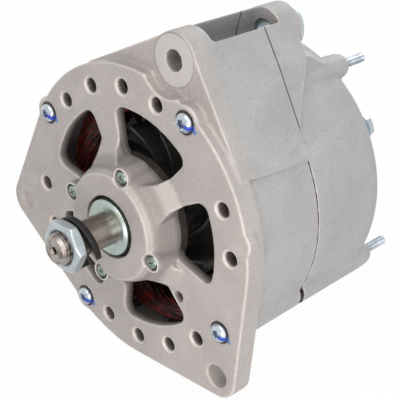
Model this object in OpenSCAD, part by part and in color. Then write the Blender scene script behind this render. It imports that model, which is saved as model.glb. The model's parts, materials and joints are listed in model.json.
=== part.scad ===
// Engine alternator with a swivel lug, split along its bench pieces.
// Millimetres. Y runs along the shaft towards the rear, Z goes up through the swivel lug.
// The origin is on the shaft axis, at the shoulder that the pulley is clamped against.

/* [Pulley seat] */
// Radius of the ground seat that the pulley slides on
seat_r = 8.5; // [7.5:0.25:9.5]
// Length of the ground seat in front of the shoulder
seat_len = 17; // [12:0.5:24]
// Radius of the thread that holds the pulley nut
thread_r = 8; // [6:0.25:8.25]
// Length of the thread in front of the seat
thread_len = 15.5; // [13:0.5:22]
// Width of the pulley nut across its flats
nut_af = 24; // [22:0.5:27]
// Height of the pulley nut
nut_h = 6.5; // [5:0.5:8]
// Outer radius of the spring lock washer
washer_r = 13; // [11.4:0.2:14]
// Thickness of the lock washer's wire
washer_t = 3.5; // [2:0.1:4]
// Distance between the two cut ends of the lock washer, along the shaft
washer_spread = 6.4; // [1:0.2:7]
// Outer radius of the collar behind the pulley
collar_r = 14.7; // [13:0.1:15.5]
// Length of the collar from the shoulder to the front bearing
collar_len = 6; // [5:0.5:9]

/* [Drive end housing] */
// How far the front hub stands out of the flange face
hub_proud = 14.5; // [12:0.5:18]
// Thickness of the lip in front of the front bearing
hub_lip_t = 4.5; // [3:0.25:5]
// Radius of the flat front face of the hub
hub_face_r = 28.5; // [27:0.25:29]
// Radius of the hub just behind its front face
hub_r = 29.5; // [29.25:0.25:31]
// Radius of the hub where it meets the flange
hub_root_r = 33.6; // [33.2:0.2:35]
// Radius of the flange
flange_r = 80; // [78.5:0.25:81.5]
// Thickness of the flange around the air windows
flange_t = 6; // [5:0.5:8]
// Thickness of the flange at its rim and its ears
rim_t = 12; // [10:0.5:15]
// Outer radius of the housings behind the flange
body_r = 77; // [76:0.25:78]
// Thickness of the housings' round wall
body_wall_t = 5; // [4.5:0.25:6]
// Depth of the drive end housing from its flange face to the joint
pot_depth = 55; // [50:1:62]
// Radius of the circle of holes round the flange rim
ring_hole_circle_r = 69; // [67:0.5:70]
// Radius of each hole round the flange rim
ring_hole_r = 3.75; // [3:0.25:4.5]
// Outer radius of the air windows
window_outer_r = 58.5; // [55:0.5:61]
// Corner radius of the air windows
window_corner_r = 5; // [3:0.5:6]
// Radius of the small extra hole beside one arm
arm_hole_r = 3; // [2:0.25:3.5]
// Width of the raised part of each arm
arm_w = 14.8; // [12:0.2:17]
// Radius where the raised part of each arm meets the flange
arm_ramp_r = 43; // [41:0.5:46]

/* [Mounting lug and ears] */
// Distance of the swivel lug's bore from the shaft axis
lug_h = 92; // [90:0.5:98]
// Outer radius of the lug
lug_r = 13.6; // [12.5:0.1:14.5]
// Radius of the machined face on the front of the lug
lug_face_r = 12.6; // [11:0.1:13]
// Radius of the lug's front bore
lug_bore_r = 5.25; // [4:0.25:6.5]
// How far the lug's front face lies behind the flange face
lug_setback = 5.5; // [4:0.5:7]
// Length of the lug's front boss
lug_front_len = 14.2; // [12:0.2:18]
// Length of the open slot between the two bosses
lug_slot_len = 46.3; // [40:0.5:50]
// Width of the open slot between the two bosses
lug_slot_w = 15; // [12:0.5:18]
// Length of the lug's rear boss
lug_rear_len = 14.5; // [12:0.5:18]
// Radius of the flange's clearance round the lug
lug_notch_r = 17; // [15.5:0.5:18]
// Distance of the web's flanks from the shaft axis, at the flange
web_front_r = 80.7; // [79:0.1:82]
// Distance of the web's flanks from the shaft axis, from the joint on
web_rear_r = 77.4; // [77.2:0.1:78.4]
// Distance of the two ear centres from the shaft axis
ear_reach = 90; // [88:0.5:94]
// Outer radius of the ears
ear_r = 11.8; // [11:0.1:13]
// Radius of the hole in the tensioning ear
ear_hole_r = 6.25; // [5:0.25:7]
// Radius of the sleeve of the sliding bush
bush_r = 7; // [6.5:0.1:8]
// Radius of the flange of the sliding bush
bush_flange_r = 12; // [10.5:0.25:12.5]
// Thickness of the flange of the sliding bush
bush_flange_t = 3.2; // [2:0.2:4]
// Length of the sleeve of the sliding bush
bush_len = 12.5; // [9:0.5:14]

/* [Rear housing] */
// Length of the rear housing from the joint to its rear face
rear_len = 59; // [57:0.5:64]
// Radius of the rounded rear rim
rear_round = 16; // [12:0.5:17]
// Thickness of the rear wall
rear_wall_t = 6; // [5:0.5:7]
// Radius of the rear bearing hub
rear_hub_r = 23; // [21.5:0.5:24.5]
// Inner radius of the rear air slots
rear_vent_inner_r = 29; // [27:0.5:31]
// Outer radius of the rear air slots
rear_vent_outer_r = 44; // [40:0.5:46]

/* [Through bolts] */
// Radius of the circle of the four through bolts
bolt_circle_r = 74; // [73.5:0.1:74.5]
// Radius of each through bolt
bolt_r = 2.5; // [2:0.1:2.6]
// Radius of the head of each through bolt
bolt_head_r = 5; // [4.4:0.1:5.2]
// Height of the head of each through bolt
bolt_head_h = 3.4; // [2.5:0.1:4]
// Radius of the flange's bumps round the through bolts
bolt_bump_r = 8.6; // [8:0.1:9.2]
// Radius of the cast rib round each through bolt, at the flange
rib_front_r = 8; // [7.6:0.1:8.6]
// Radius of the cast rib round each through bolt, at the joint
rib_seam_r = 7.5; // [7:0.1:8]
// Radius of the cast rib round each through bolt, at its rear end
rib_end_r = 6; // [5:0.1:6.8]
// Width of the slit across each rib at the joint
rib_slit = 2.2; // [0.5:0.1:3]
// How far the cast ribs stand out of the rear face
bolt_rib_proud = 1; // [0.5:0.5:4]
// How far the bolt ends stand out of the cast ribs
bolt_end_len = 18; // [8:0.5:22]

/* [Bearings] */
// Outer radius of the front bearing
front_bearing_r = 23.5; // [22.5:0.25:24]
// Width of the front bearing
front_bearing_w = 14; // [12:0.5:14]
// Ball radius of the front bearing
front_ball_r = 4.1; // [3.5:0.1:4.3]
// Outer radius of the rear bearing
rear_bearing_r = 17.5; // [17:0.25:18]
// Width of the rear bearing
rear_bearing_w = 11; // [10:0.5:12]
// Ball radius of the rear bearing
rear_ball_r = 2.9; // [2.5:0.1:3.1]
// Radius of the shaft's rear bearing seat
rear_seat_r = 7.5; // [7:0.1:7.9]
// Thickness of the plate that retains the front bearing
retainer_t = 4; // [2:0.25:5]
// Radius of the circle of the retaining screws
retainer_circle_r = 30.6; // [29.5:0.1:31]
// Radius of the head of each retaining screw
retainer_head_r = 3.4; // [3:0.1:4]
// Radius of the shank of each retaining screw
retainer_screw_r = 2; // [1.5:0.1:2.2]

/* [Stator] */
// Thickness of the housings' wall round the stator core
stator_wall_t = 7; // [6.5:0.1:8]
// Bore radius of the stator core
stator_bore_r = 48; // [47:0.1:48.5]
// Length of the stator core
stator_len = 40; // [34:1:44]
// Number of slots in the stator core
slot_count = 36; // [24, 30, 36, 42]
// Width of each slot in the stator core
slot_w = 4; // [3:0.1:4.5]
// Thickness of the stator core behind its slots
yoke_t = 8; // [6:0.5:12]
// How far the winding overhangs the front of the core
overhang_front = 22.5; // [12:0.5:24]
// How far the winding overhangs the rear of the core
overhang_rear = 15; // [12:0.5:16]
// How far the winding's overhang lies inside the stator core's rim
overhang_inset = 1.8; // [1.4:0.2:6]

/* [Rotor] */
// Air gap between the rotor and the stator
air_gap = 0.5; // [0.3:0.05:0.8]
// Length of the rotor over both claw poles
rotor_len = 56; // [50:1:58]
// Number of fingers on each claw pole
finger_count = 6; // [4:1:8]
// Thickness of each claw pole's disc
claw_disc_t = 12; // [10:0.5:13]
// Radius of the rotor's steel core
core_r = 20; // [17:0.5:22]
// Outer radius of the field coil
coil_r = 36.5; // [30:0.5:38]
// Radius of the shaft inside the rotor
rotor_seat_r = 10; // [9.75:0.25:12]
// Outer radius of the two fans
fan_r = 45; // [38:0.5:46]
// Height of the front fan's blades
front_blade_h = 11; // [8:0.5:13]
// Height of the rear fan's blades
rear_blade_h = 5; // [4:0.5:6]
// Number of blades on each fan
blade_count = 11; // [7:1:13]
// Thickness of the fans' sheet
fan_t = 1.5; // [1:0.25:2]

/* [Slip rings and brushes] */
// Radius of the slip rings
slip_ring_r = 13.5; // [12:0.25:15]
// Width of each slip ring
slip_ring_w = 5.5; // [5:0.5:7]
// Gap between the two slip rings
slip_ring_gap = 2.5; // [2:0.25:4]
// Width of each brush across the shaft
brush_w = 6.4; // [5:0.2:8]
// Thickness of each brush along the shaft
brush_t = 4.6; // [4:0.2:4.8]
// Length of each brush
brush_len = 14; // [10:0.5:18]
// How far a brush can be pushed back into its holder
brush_travel = 5; // [3:0.5:6]
// Length of each brush spring with the brush on its ring
spring_len = 14; // [12:0.5:16]
// Radius of each brush spring
spring_r = 2; // [1.6:0.1:2.1]

/* [Rectifier and terminals] */
// Inner radius of the two heat sinks
sink_inner_r = 30; // [29:0.5:34]
// Room between the two heat sinks and the housing's wall
sink_rim_gap = 8; // [7.5:0.25:10]
// Thickness of each heat sink
sink_t = 2.5; // [2:0.25:3]
// Radius of each power diode
diode_r = 6; // [5:0.25:6.5]
// Radius of the charging terminal's stud
charge_stud_r = 4; // [3:0.25:5]
// Distance of the charging terminal from the rim of the heat sinks
charge_inset = 8; // [7.5:0.25:10]
// Height that the charging terminal's insulator stands out of the rear face
charge_collar_h = 6.5; // [1.5:0.5:8]
// Radius of the two small terminals' studs
signal_stud_r = 2.5; // [2:0.25:3]
// Distance of the two small terminals from the rim of the heat sinks
signal_inset = 10; // [7:0.5:13]

/* [Fits] */
// Radial clearance of a close fit between two pieces of one body
fit = 0.03; // [0.02:0.01:0.05]
// Radial clearance of a piece that slides or turns in another
running = 0.06; // [0.03:0.01:0.09]
// Gap between pieces that move past each other
gap = 0.4; // [0.3:0.05:0.6]

/* [Hidden] */
$fn = 96;

// Angles round the shaft, seen from the front, from +X towards +Z
bolt_angles = [75, 165, 255, 345];
ring_hole_angles = [90, 110, 130, 150, 200, 220, 270, 290, 310, 330, 20, 40];
window_spans = [[64, 116], [0, 44.6], [-80, -30], [-147, -100], [135, 184]];
arm_angles = [54.3, 125.5, 198.5, 270, -15];
retainer_angles = [0, 90, 180, 270];
spare_bump_angle = 27;
spare_bump_r = 7;
arm_hole_angle = -25.3;
arm_hole_reach = 46.7;
blind_ear_angle = 210;
hole_ear_angle = 330;

// Radii that follow the body
cavity_r = body_r - body_wall_t;
stator_r = body_r - stator_wall_t;
slot_bottom_r = stator_r - yoke_t;
overhang_r = stator_r - overhang_inset;
sink_outer_r = cavity_r - sink_rim_gap;
charge_reach = sink_outer_r - charge_inset;
signal_reach = sink_outer_r - signal_inset;

// Seats
spot_depth = 1.2;
bush_travel = 3;
retainer_r = hub_root_r - 0.3;
hub_waist_r = hub_r + 1.3;
arm_foot_w = arm_w + 5;

// Places along the shaft
hub_face_y = collar_len - hub_lip_t;
ramp_y = hub_face_y + 5.5;
flange_y = hub_face_y + hub_proud;
flange_back_y = flange_y + flange_t;
rim_back_y = flange_y + rim_t;
seam_y = flange_y + pot_depth;
rear_y = seam_y + rear_len;
rear_inner_y = rear_y - rear_wall_t;
rib_end_y = rear_y + bolt_rib_proud;
front_bearing_y = collar_len;
retainer_y = front_bearing_y + front_bearing_w;
lug_face_y = flange_y + lug_setback;
lug_slot_y = lug_face_y + lug_front_len;
lug_rear_y = lug_slot_y + lug_slot_len;
lug_end_y = lug_rear_y + lug_rear_len;
rotor_mid_y = seam_y + 1;
rotor_y = rotor_mid_y - rotor_len / 2;
rotor_end_y = rotor_mid_y + rotor_len / 2;
stator_y = rotor_mid_y - stator_len / 2;
stator_end_y = rotor_mid_y + stator_len / 2;
rotor_r = stator_bore_r - air_gap;
rear_bearing_end_y = rear_y - 4;
rear_bearing_y = rear_bearing_end_y - rear_bearing_w;
slip_hub_y = rear_bearing_end_y + 1.4;
slip_front_y = slip_hub_y + 3.6;
slip_rear_y = slip_front_y + slip_ring_w + slip_ring_gap;
slip_end_y = slip_rear_y + slip_ring_w + 1;
shaft_end_y = slip_end_y - 2;
nut_back_y = -seat_len - 4.8;
fan_back_y = rotor_y;
fan_front_y = rotor_y - fan_t;

// Cast shapes
window_inner_r = hub_root_r - 0.2;
web_lug_r = lug_r - 0.6;
register_r = stator_r + fit;
shoulder_r = stator_r - 1;
seam_groove = 0.5;
groove_depth = 1.2;
kink_z = 66;
web_back_y = lug_end_y - 4;
web_back_z = lug_h - 4.3;
gusset_half_w = 19;
gusset_end_y = lug_end_y + 17.5;
gusset_end_z = body_r + 0.6;

// Places the child on a radius and an angle round the shaft
module around(r, a) {
    translate([r * cos(a), 0, r * sin(a)]) children();
}

// Turns the child round the shaft from the +X side
module turn(a) {
    rotate([0, -a, 0]) children();
}

// Solid rod along the shaft
module rod(r, y0, y1) {
    translate([0, y0, 0]) rotate([-90, 0, 0]) cylinder(r = r, h = y1 - y0);
}

// Tapered rod along the shaft
module taper(r0, r1, y0, y1) {
    translate([0, y0, 0]) rotate([-90, 0, 0]) cylinder(r1 = r0, r2 = r1, h = y1 - y0);
}

// Ring along the shaft
module tube(r_out, r_in, y0, y1) {
    turned([[r_in, y0], [r_out, y0], [r_out, y1], [r_in, y1]]);
}

// Turned piece from points given as radius and place along the shaft
module turned(points) {
    rotate([-90, 0, 0]) rotate_extrude() polygon(points);
}

// Extrudes an outline in X and Z from y0 to y1
module slab(y0, y1) {
    translate([0, y1, 0]) rotate([90, 0, 0]) linear_extrude(height = y1 - y0) children();
}

// Extrudes an outline in Y and Z across X
module across(w) {
    translate([-w / 2, 0, 0]) rotate([90, 0, 90]) linear_extrude(height = w) children();
}

// Block from two corners
module block(a, b) {
    translate(a) cube([b[0] - a[0], b[1] - a[1], b[2] - a[2]]);
}

function polar(r, a) = [r * cos(a), r * sin(a)];
function arc_points(r, a0, a1, n) = [for (i = [0:n]) polar(r, a0 + (a1 - a0) * i / n)];
function sector_points(r0, r1, a0, a1, n) = concat(arc_points(r1, a0, a1, n), arc_points(r0, a1, a0, n));

// Outline of an air window with rounded corners
module window_shape(span) {
    offset(r = window_corner_r, $fn = 32)
        offset(delta = -window_corner_r)
            polygon(sector_points(window_inner_r, window_outer_r, span[0], span[1], 14));
}

// Outline of the flange with both ears and the bolt bumps
module flange_shape() {
    circle(r = flange_r);
    for (a = [blind_ear_angle, hole_ear_angle])
        hull() {
            circle(r = flange_r, $fn = 90);
            translate(polar(ear_reach, a)) circle(r = ear_r, $fn = 40);
        }
    for (a = bolt_angles) translate(polar(bolt_circle_r, a)) circle(r = bolt_bump_r);
}

// Corners of the web's outline, its flanks tangent to the lug and to a circle of radius r
function web_angle(r) = asin((r - web_lug_r) / lug_h);
function web_outline(r) = let (b = web_angle(r)) concat([polar(r, b)],
    [for (i = [0:12]) [0, lug_h] + polar(web_lug_r, b + (180 - 2 * b) * i / 12)],
    [polar(r, 180 - b), polar(body_r - 17, 180 - b), polar(body_r - 17, b)]);

// Web between the lug and the body, its flanks closing in towards the joint
module web() {
    hull() {
        slab(flange_back_y, flange_back_y + 0.1) polygon(web_outline(web_front_r));
        slab(seam_y - 0.1, web_back_y) polygon(web_outline(web_rear_r));
    }
}

// Side view of the web, cut off along a slope behind the joint
function web_side() = [[flange_back_y - 1, body_r * 0.6], [seam_y, body_r * 0.6], [seam_y, kink_z],
    [web_back_y, web_back_z], [web_back_y, lug_h * 1.3], [flange_back_y - 1, lug_h * 1.3]];

// Web with its overhang cut clear of the rear housing and of the rib beside it
module trimmed_web() {
    difference() {
        intersection() {
            web();
            across(4 * ear_reach) polygon(web_side());
        }
        rod(body_r + gap, seam_y, lug_end_y);
        around(bolt_circle_r, bolt_angles[0]) rod(rib_seam_r + gap, seam_y, lug_end_y);
    }
}

// Side view of the gusset that backs the web on the rear housing
function gusset_side() = [[seam_y + seam_groove, body_r * 0.6], [seam_y + seam_groove, kink_z - 0.5],
    [web_back_y + seam_groove, web_back_z - 0.5], [web_back_y + 4.5, web_back_z - 0.5],
    [gusset_end_y, gusset_end_z], [gusset_end_y, body_r * 0.6]];

module gusset() {
    intersection() {
        slab(seam_y, gusset_end_y)
            polygon([[-gusset_half_w, lug_h], [gusset_half_w, lug_h], [gusset_half_w + 9, body_r * 0.7],
                [-gusset_half_w - 9, body_r * 0.7]]);
        across(2 * body_r) polygon(gusset_side());
    }
}

// Ribs round the through bolts, with a little draft
module front_ribs(y0, y1) {
    for (a = bolt_angles) around(bolt_circle_r, a) taper(rib_front_r, rib_seam_r, y0, y1);
}

module rear_ribs(y0) {
    for (a = bolt_angles)
        around(bolt_circle_r, a)
            turned([[0, y0], [rib_seam_r, y0], [rib_seam_r - 0.4, rear_y - 9], [rib_end_r + 0.6, rear_y - 2.5],
                [rib_end_r - 0.2, rib_end_y - 0.8], [rib_end_r - 1, rib_end_y], [0, rib_end_y]]);
}

module bolt_holes(y0, y1) {
    for (a = bolt_angles) around(bolt_circle_r, a) rod(bolt_r + 0.05, y0, y1);
}

// Turned outside of the front hub
module hub_outside() {
    turned([[0, hub_face_y], [hub_face_r - 0.6, hub_face_y], [hub_face_r, hub_face_y + 0.6],
        [hub_face_r, hub_face_y + 2.2], [hub_r - 0.4, hub_face_y + 2.2], [hub_r, hub_face_y + 2.8],
        [hub_waist_r, ramp_y], [hub_root_r, flange_y + 1.3], [hub_root_r, retainer_y], [0, retainer_y]]);
}

// Ramps that carry the arms up to the hub
module arm_ramps() {
    for (a = arm_angles)
        turn(a)
            intersection() {
                taper(hub_waist_r - 0.5, arm_ramp_r, ramp_y + 0.2, flange_y + 0.5);
                slab(hub_face_y, flange_y + 1)
                    polygon([[0, -arm_foot_w / 2], [hub_waist_r, -arm_foot_w / 2], [hub_waist_r + 5, -arm_w / 2],
                        [arm_ramp_r, -arm_w / 2], [arm_ramp_r, arm_w / 2], [hub_waist_r + 5, arm_w / 2],
                        [hub_waist_r, arm_foot_w / 2], [0, arm_foot_w / 2]]);
            }
}

// Small lobes that carry the retaining screws
module retainer_lobes() {
    for (a = retainer_angles) around(retainer_circle_r, a) rod(5.2, hub_face_y + 1.2, flange_y + 1.7);
}

module drive_end_housing() {
    color([0.72, 0.70, 0.69])
    difference() {
        union() {
            difference() {
                union() {
                    slab(flange_y, rim_back_y) flange_shape();
                    around(flange_r - 5, spare_bump_angle) rod(spare_bump_r, flange_y, flange_back_y);
                    rod(body_r, flange_back_y, seam_y);
                    front_ribs(flange_back_y, seam_y - rib_slit);
                    trimmed_web();
                    translate([0, 0, lug_h]) rod(lug_r, lug_face_y + 1, lug_slot_y + 1);
                    translate([0, 0, lug_h]) rod(lug_r - 0.4, lug_rear_y - 1, lug_end_y);
                    translate([0, 0, lug_h]) rod(lug_face_r, lug_face_y, lug_face_y + 2);
                }
                difference() {
                    rod(cavity_r, flange_back_y, stator_y);
                    front_ribs(flange_back_y - 1, stator_y + 1);
                }
                rod(shoulder_r, flange_back_y, stator_y + 1);
                rod(register_r, stator_y, seam_y + 1);
                translate([0, 0, lug_h]) rod(lug_notch_r, flange_y - 1, lug_face_y);
                for (s = window_spans) slab(flange_y - 1, flange_back_y + 1) window_shape(s);
                tube(body_r + 1, body_r - groove_depth, seam_y - seam_groove / 2, seam_y + 1);
            }
            hub_outside();
            arm_ramps();
            retainer_lobes();
        }
        rod(front_bearing_r + fit, front_bearing_y, retainer_y + 0.01);
        rod(collar_r + 1.8, hub_face_y - 1, front_bearing_y + 1);
        rod(retainer_r + 0.3, retainer_y, retainer_y + retainer_t + 2);
        for (a = retainer_angles)
            around(retainer_circle_r, a) {
                rod(retainer_head_r + 0.9, hub_face_y - 1, hub_face_y + 3.5);
                rod(retainer_screw_r + 0.1, hub_face_y, retainer_y + 1);
            }
        bolt_holes(flange_y - 1, seam_y + 1);
        for (a = bolt_angles)
            around(bolt_circle_r, a) rod(bolt_head_r + 1, flange_y - 1, flange_y + spot_depth);
        for (a = ring_hole_angles)
            around(ring_hole_circle_r, a) {
                rod(ring_hole_r, flange_y - 1, flange_back_y + 1);
                taper(ring_hole_r + 2, ring_hole_r, flange_y - 1, flange_y + 1);
            }
        around(arm_hole_reach, arm_hole_angle) rod(arm_hole_r, flange_y - 1, flange_back_y + 1);
        around(ear_reach, hole_ear_angle) rod(ear_hole_r, flange_y - 1, rim_back_y + 1);
        around(ear_reach + 1, blind_ear_angle) taper(6, 3.5, flange_y - 0.01, flange_y + 2);
        translate([0, 0, lug_h]) rod(lug_bore_r, lug_face_y - 1, lug_slot_y + 1);
        translate([0, 0, lug_h]) rod(bush_r + running, lug_rear_y - 1, lug_end_y + 1);
        translate([0, 0, lug_h]) rod(lug_slot_w / 2, lug_slot_y, lug_rear_y);
        block([-lug_slot_w / 2, lug_slot_y, lug_h], [lug_slot_w / 2, lug_rear_y, lug_h + lug_r + 10]);
    }
}

// Outline of one group of air slots in the rear wall
module vent_shape(a0, a1) {
    offset(r = 2, $fn = 24)
        offset(delta = -2)
            polygon(sector_points(rear_vent_inner_r, rear_vent_outer_r, a0, a1, 8));
}

vent_spans = [for (i = [0:7]) [-50 + i * 33 + 4, -50 + (i + 1) * 33 - 4]];

// Turned outside of the rear housing, with its rounded rim
function rear_outside() = concat([[0, seam_y], [body_r, seam_y]],
    [for (i = [0:8]) [body_r - rear_round * (1 - cos(i * 11.25)), rear_y - rear_round * (1 - sin(i * 11.25))]],
    [[0, rear_y]]);

// Turned space inside the rear housing
function rear_inside() = concat([[0, stator_end_y], [cavity_r, stator_end_y]],
    [for (i = [0:8]) [cavity_r - (rear_round - 5) * (1 - cos(i * 11.25)),
        rear_inner_y - (rear_round - 5) * (1 - sin(i * 11.25))]],
    [[0, rear_inner_y]]);

module rear_housing() {
    color([0.70, 0.70, 0.69])
    difference() {
        union() {
            turned(rear_outside());
            rear_ribs(seam_y);
            gusset();
            around(charge_reach, charge_angle) rod(charge_sleeve_r + 3, rear_inner_y, rear_y);
        }
        difference() {
            turned(rear_inside());
            rear_ribs(seam_y);
            rod(rear_hub_r, rear_bearing_y - 2, rear_y);
        }
        rod(shoulder_r, stator_end_y - 1, rear_bearing_y - 2);
        rod(register_r, seam_y - 1, stator_end_y);
        rod(rear_bearing_r + fit, rear_bearing_y - 3, rear_bearing_end_y);
        rod(slip_ring_r + 2, rear_bearing_end_y - 1, rear_y + 1);
        tube(body_r + 1, body_r - groove_depth, seam_y - 1, seam_y + seam_groove / 2);
        translate([0, 0, lug_h])
            rod(lug_r + 2 * gap, lug_rear_y - 2, lug_end_y + bush_flange_t + bush_travel + 2);
        bolt_holes(seam_y - 1, rib_end_y + 1);
        for (s = vent_spans) slab(rear_inner_y - 1, rear_y + 1) vent_shape(s[0], s[1]);
        around(charge_reach, charge_angle) rod(charge_sleeve_r + fit, rear_inner_y - 12, rear_y + 1);
        for (a = signal_angles)
            around(signal_reach, a) rod(signal_sleeve_r + fit, rear_inner_y - 12, rear_y + 1);
        for (x = regulator_screw_x)
            translate([x, 0, regulator_screw_z]) rod(regulator_screw_r, rear_inner_y + 1, rear_y + 1);
        for (a = standoff_angles)
            around(standoff_reach, a) rod(standoff_screw_r + fit, rear_inner_y - 1, rear_y - 2);
    }
}

// Long bolts with pan heads, from the flange's spot faces to behind the rear housing
module through_bolts() {
    seat = flange_y + spot_depth;
    top = seat - bolt_head_h;
    tip = rib_end_y + bolt_end_len;
    bolt_shank_r = bolt_r - 0.2;
    color([0.80, 0.82, 0.86])
    for (a = bolt_angles)
        around(bolt_circle_r, a)
            turned([[0, top], [bolt_head_r - 1.6, top], [bolt_head_r - 0.3, top + 1], [bolt_head_r, top + 2],
                [bolt_head_r, seat], [bolt_shank_r, seat], [bolt_shank_r, rib_end_y + 0.3],
                [bolt_r, rib_end_y + 0.3], [bolt_r, tip - 1], [bolt_r - 0.8, tip], [0, tip]]);
}

// Plate behind the front bearing, pulled forward by the four retaining screws
module bearing_retainer() {
    color([0.55, 0.55, 0.56])
    difference() {
        rod(retainer_r, retainer_y, retainer_y + retainer_t);
        rod(front_bearing_r - 5, retainer_y - 1, retainer_y + retainer_t + 1);
        for (a = retainer_angles)
            around(retainer_circle_r, a)
                rod(retainer_screw_r + fit, retainer_y - 1, retainer_y + retainer_t + 1);
    }
}

module retainer_screws() {
    color([0.74, 0.80, 0.76])
    for (a = retainer_angles)
        around(retainer_circle_r, a) {
            rod(retainer_head_r, hub_face_y + 1.3, hub_face_y + 3.5);
            rod(retainer_screw_r, hub_face_y + 3.5, retainer_y + retainer_t);
        }
}

module slide_bush() {
    color([0.70, 0.78, 0.82])
    translate([0, 0, lug_h])
        difference() {
            union() {
                rod(bush_r, lug_end_y - bush_len, lug_end_y + 0.5);
                turned([[0, lug_end_y + 0.1], [bush_flange_r, lug_end_y + 0.1],
                    [bush_flange_r, lug_end_y + bush_flange_t - 0.6],
                    [bush_flange_r - 0.6, lug_end_y + bush_flange_t], [0, lug_end_y + bush_flange_t]]);
            }
            rod(lug_bore_r, lug_end_y - bush_len - 1, lug_end_y + bush_flange_t + 1);
        }
}

// Ball bearings: the race radii follow the ball, the bore and the outside
seal_seat = 1.4;
function pitch_r(bore, outer) = (bore + outer) / 2;

module bearing_outer(outer, bore, ball, y, w) {
    p = pitch_r(bore, outer);
    difference() {
        tube(outer, p + ball * 0.55, y, y + w);
        translate([0, y + w / 2, 0]) rotate([-90, 0, 0])
            rotate_extrude() translate([p, 0]) circle(r = ball + running, $fn = 64);
        tube(outer - 1.5, p + ball * 0.5, y - 0.5, y + seal_seat);
        tube(outer - 1.5, p + ball * 0.5, y + w - seal_seat, y + w + 0.5);
    }
}

module bearing_inner(outer, bore, ball, y, w) {
    p = pitch_r(bore, outer);
    difference() {
        tube(p - ball * 0.55, bore, y, y + w);
        translate([0, y + w / 2, 0]) rotate([-90, 0, 0])
            rotate_extrude() translate([p, 0]) circle(r = ball + running, $fn = 64);
    }
}

module bearing_seals(outer, bore, ball, y, w) {
    p = pitch_r(bore, outer);
    for (side = [0, 1])
        tube(outer - 1.55, p - ball * 0.55 + 0.75 * gap, y + 0.2 + side * (w - seal_seat),
            y + 1.2 + side * (w - seal_seat));
}

// Number of balls that fit round the pitch circle with room for the cage
function ball_count(p, ball) = floor(360 / (2 * asin(ball * 1.28 / p)));

module bearing_balls(outer, bore, ball, y, w) {
    p = pitch_r(bore, outer);
    n = ball_count(p, ball);
    for (i = [0:n - 1]) around(p, i * 360 / n) translate([0, y + w / 2, 0]) sphere(r = ball, $fn = 48);
}

module bearing_cage(outer, bore, ball, y, w) {
    p = pitch_r(bore, outer);
    n = ball_count(p, ball);
    difference() {
        tube(p + ball * 0.32, p - ball * 0.32, y + w / 2 - ball - 0.8, y + w / 2 + ball + 0.8);
        for (i = [0:n - 1])
            turn(i * 360 / n)
                translate([p - ball, y + w / 2, 0])
                    rotate([0, 90, 0]) cylinder(r = ball + 2 * running, h = 2 * ball, $fn = 48);
    }
}

module front_bearing_outer() {
    color([0.62, 0.63, 0.65])
        bearing_outer(front_bearing_r, seat_r + fit, front_ball_r, front_bearing_y, front_bearing_w);
}

module front_bearing_seals() {
    color([0.12, 0.12, 0.13])
        bearing_seals(front_bearing_r, seat_r + fit, front_ball_r, front_bearing_y, front_bearing_w);
}

module front_bearing_cage() {
    color([0.55, 0.50, 0.42])
        bearing_cage(front_bearing_r, seat_r + fit, front_ball_r, front_bearing_y, front_bearing_w);
}

module front_bearing_balls() {
    color([0.75, 0.75, 0.77])
        bearing_balls(front_bearing_r, seat_r + fit, front_ball_r, front_bearing_y, front_bearing_w);
}

module front_bearing_inner() {
    color([0.62, 0.63, 0.65])
        bearing_inner(front_bearing_r, seat_r + fit, front_ball_r, front_bearing_y, front_bearing_w);
}

module rear_bearing_outer() {
    color([0.62, 0.63, 0.65])
        bearing_outer(rear_bearing_r, rear_seat_r + fit, rear_ball_r, rear_bearing_y, rear_bearing_w);
}

module rear_bearing_seals() {
    color([0.12, 0.12, 0.13])
        bearing_seals(rear_bearing_r, rear_seat_r + fit, rear_ball_r, rear_bearing_y, rear_bearing_w);
}

module rear_bearing_cage() {
    color([0.55, 0.50, 0.42])
        bearing_cage(rear_bearing_r, rear_seat_r + fit, rear_ball_r, rear_bearing_y, rear_bearing_w);
}

module rear_bearing_balls() {
    color([0.75, 0.75, 0.77])
        bearing_balls(rear_bearing_r, rear_seat_r + fit, rear_ball_r, rear_bearing_y, rear_bearing_w);
}

module rear_bearing_inner() {
    color([0.62, 0.63, 0.65])
        bearing_inner(rear_bearing_r, rear_seat_r + fit, rear_ball_r, rear_bearing_y, rear_bearing_w);
}

module stator_core() {
    color([0.40, 0.38, 0.37])
    difference() {
        rod(stator_r, stator_y, stator_end_y);
        rod(stator_bore_r, stator_y - 1, stator_end_y + 1);
        for (i = [0:slot_count - 1])
            turn(i * 360 / slot_count) {
                block([stator_bore_r + 2.5, stator_y - 1, -slot_w / 2],
                    [slot_bottom_r, stator_end_y + 1, slot_w / 2]);
                block([stator_bore_r - 2, stator_y - 1, -slot_w / 4],
                    [stator_bore_r + 3, stator_end_y + 1, slot_w / 4]);
            }
    }
}

// Coil sides in the slots and the rounded overhang at both ends
module stator_winding() {
    in_r = stator_bore_r + 3;
    color([0.36, 0.09, 0.06]) {
        for (side = [-1, 1]) {
            near = rotor_mid_y + side * (stator_len / 2 + 2);
            far = rotor_mid_y + side * (stator_len / 2 + (side < 0 ? overhang_front : overhang_rear));
            turned([[in_r, near], [overhang_r, near], [overhang_r, far - side * 4],
                [overhang_r - 5, far], [in_r + 4, far], [in_r, far - side * 3]]);
        }
        for (i = [0:slot_count - 1])
            turn(i * 360 / slot_count)
                block([in_r + 0.2, stator_y - 2.1, -slot_w / 2 + 0.3],
                    [slot_bottom_r - gap, stator_end_y + 2.1, slot_w / 2 - 0.3]);
    }
}

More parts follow.
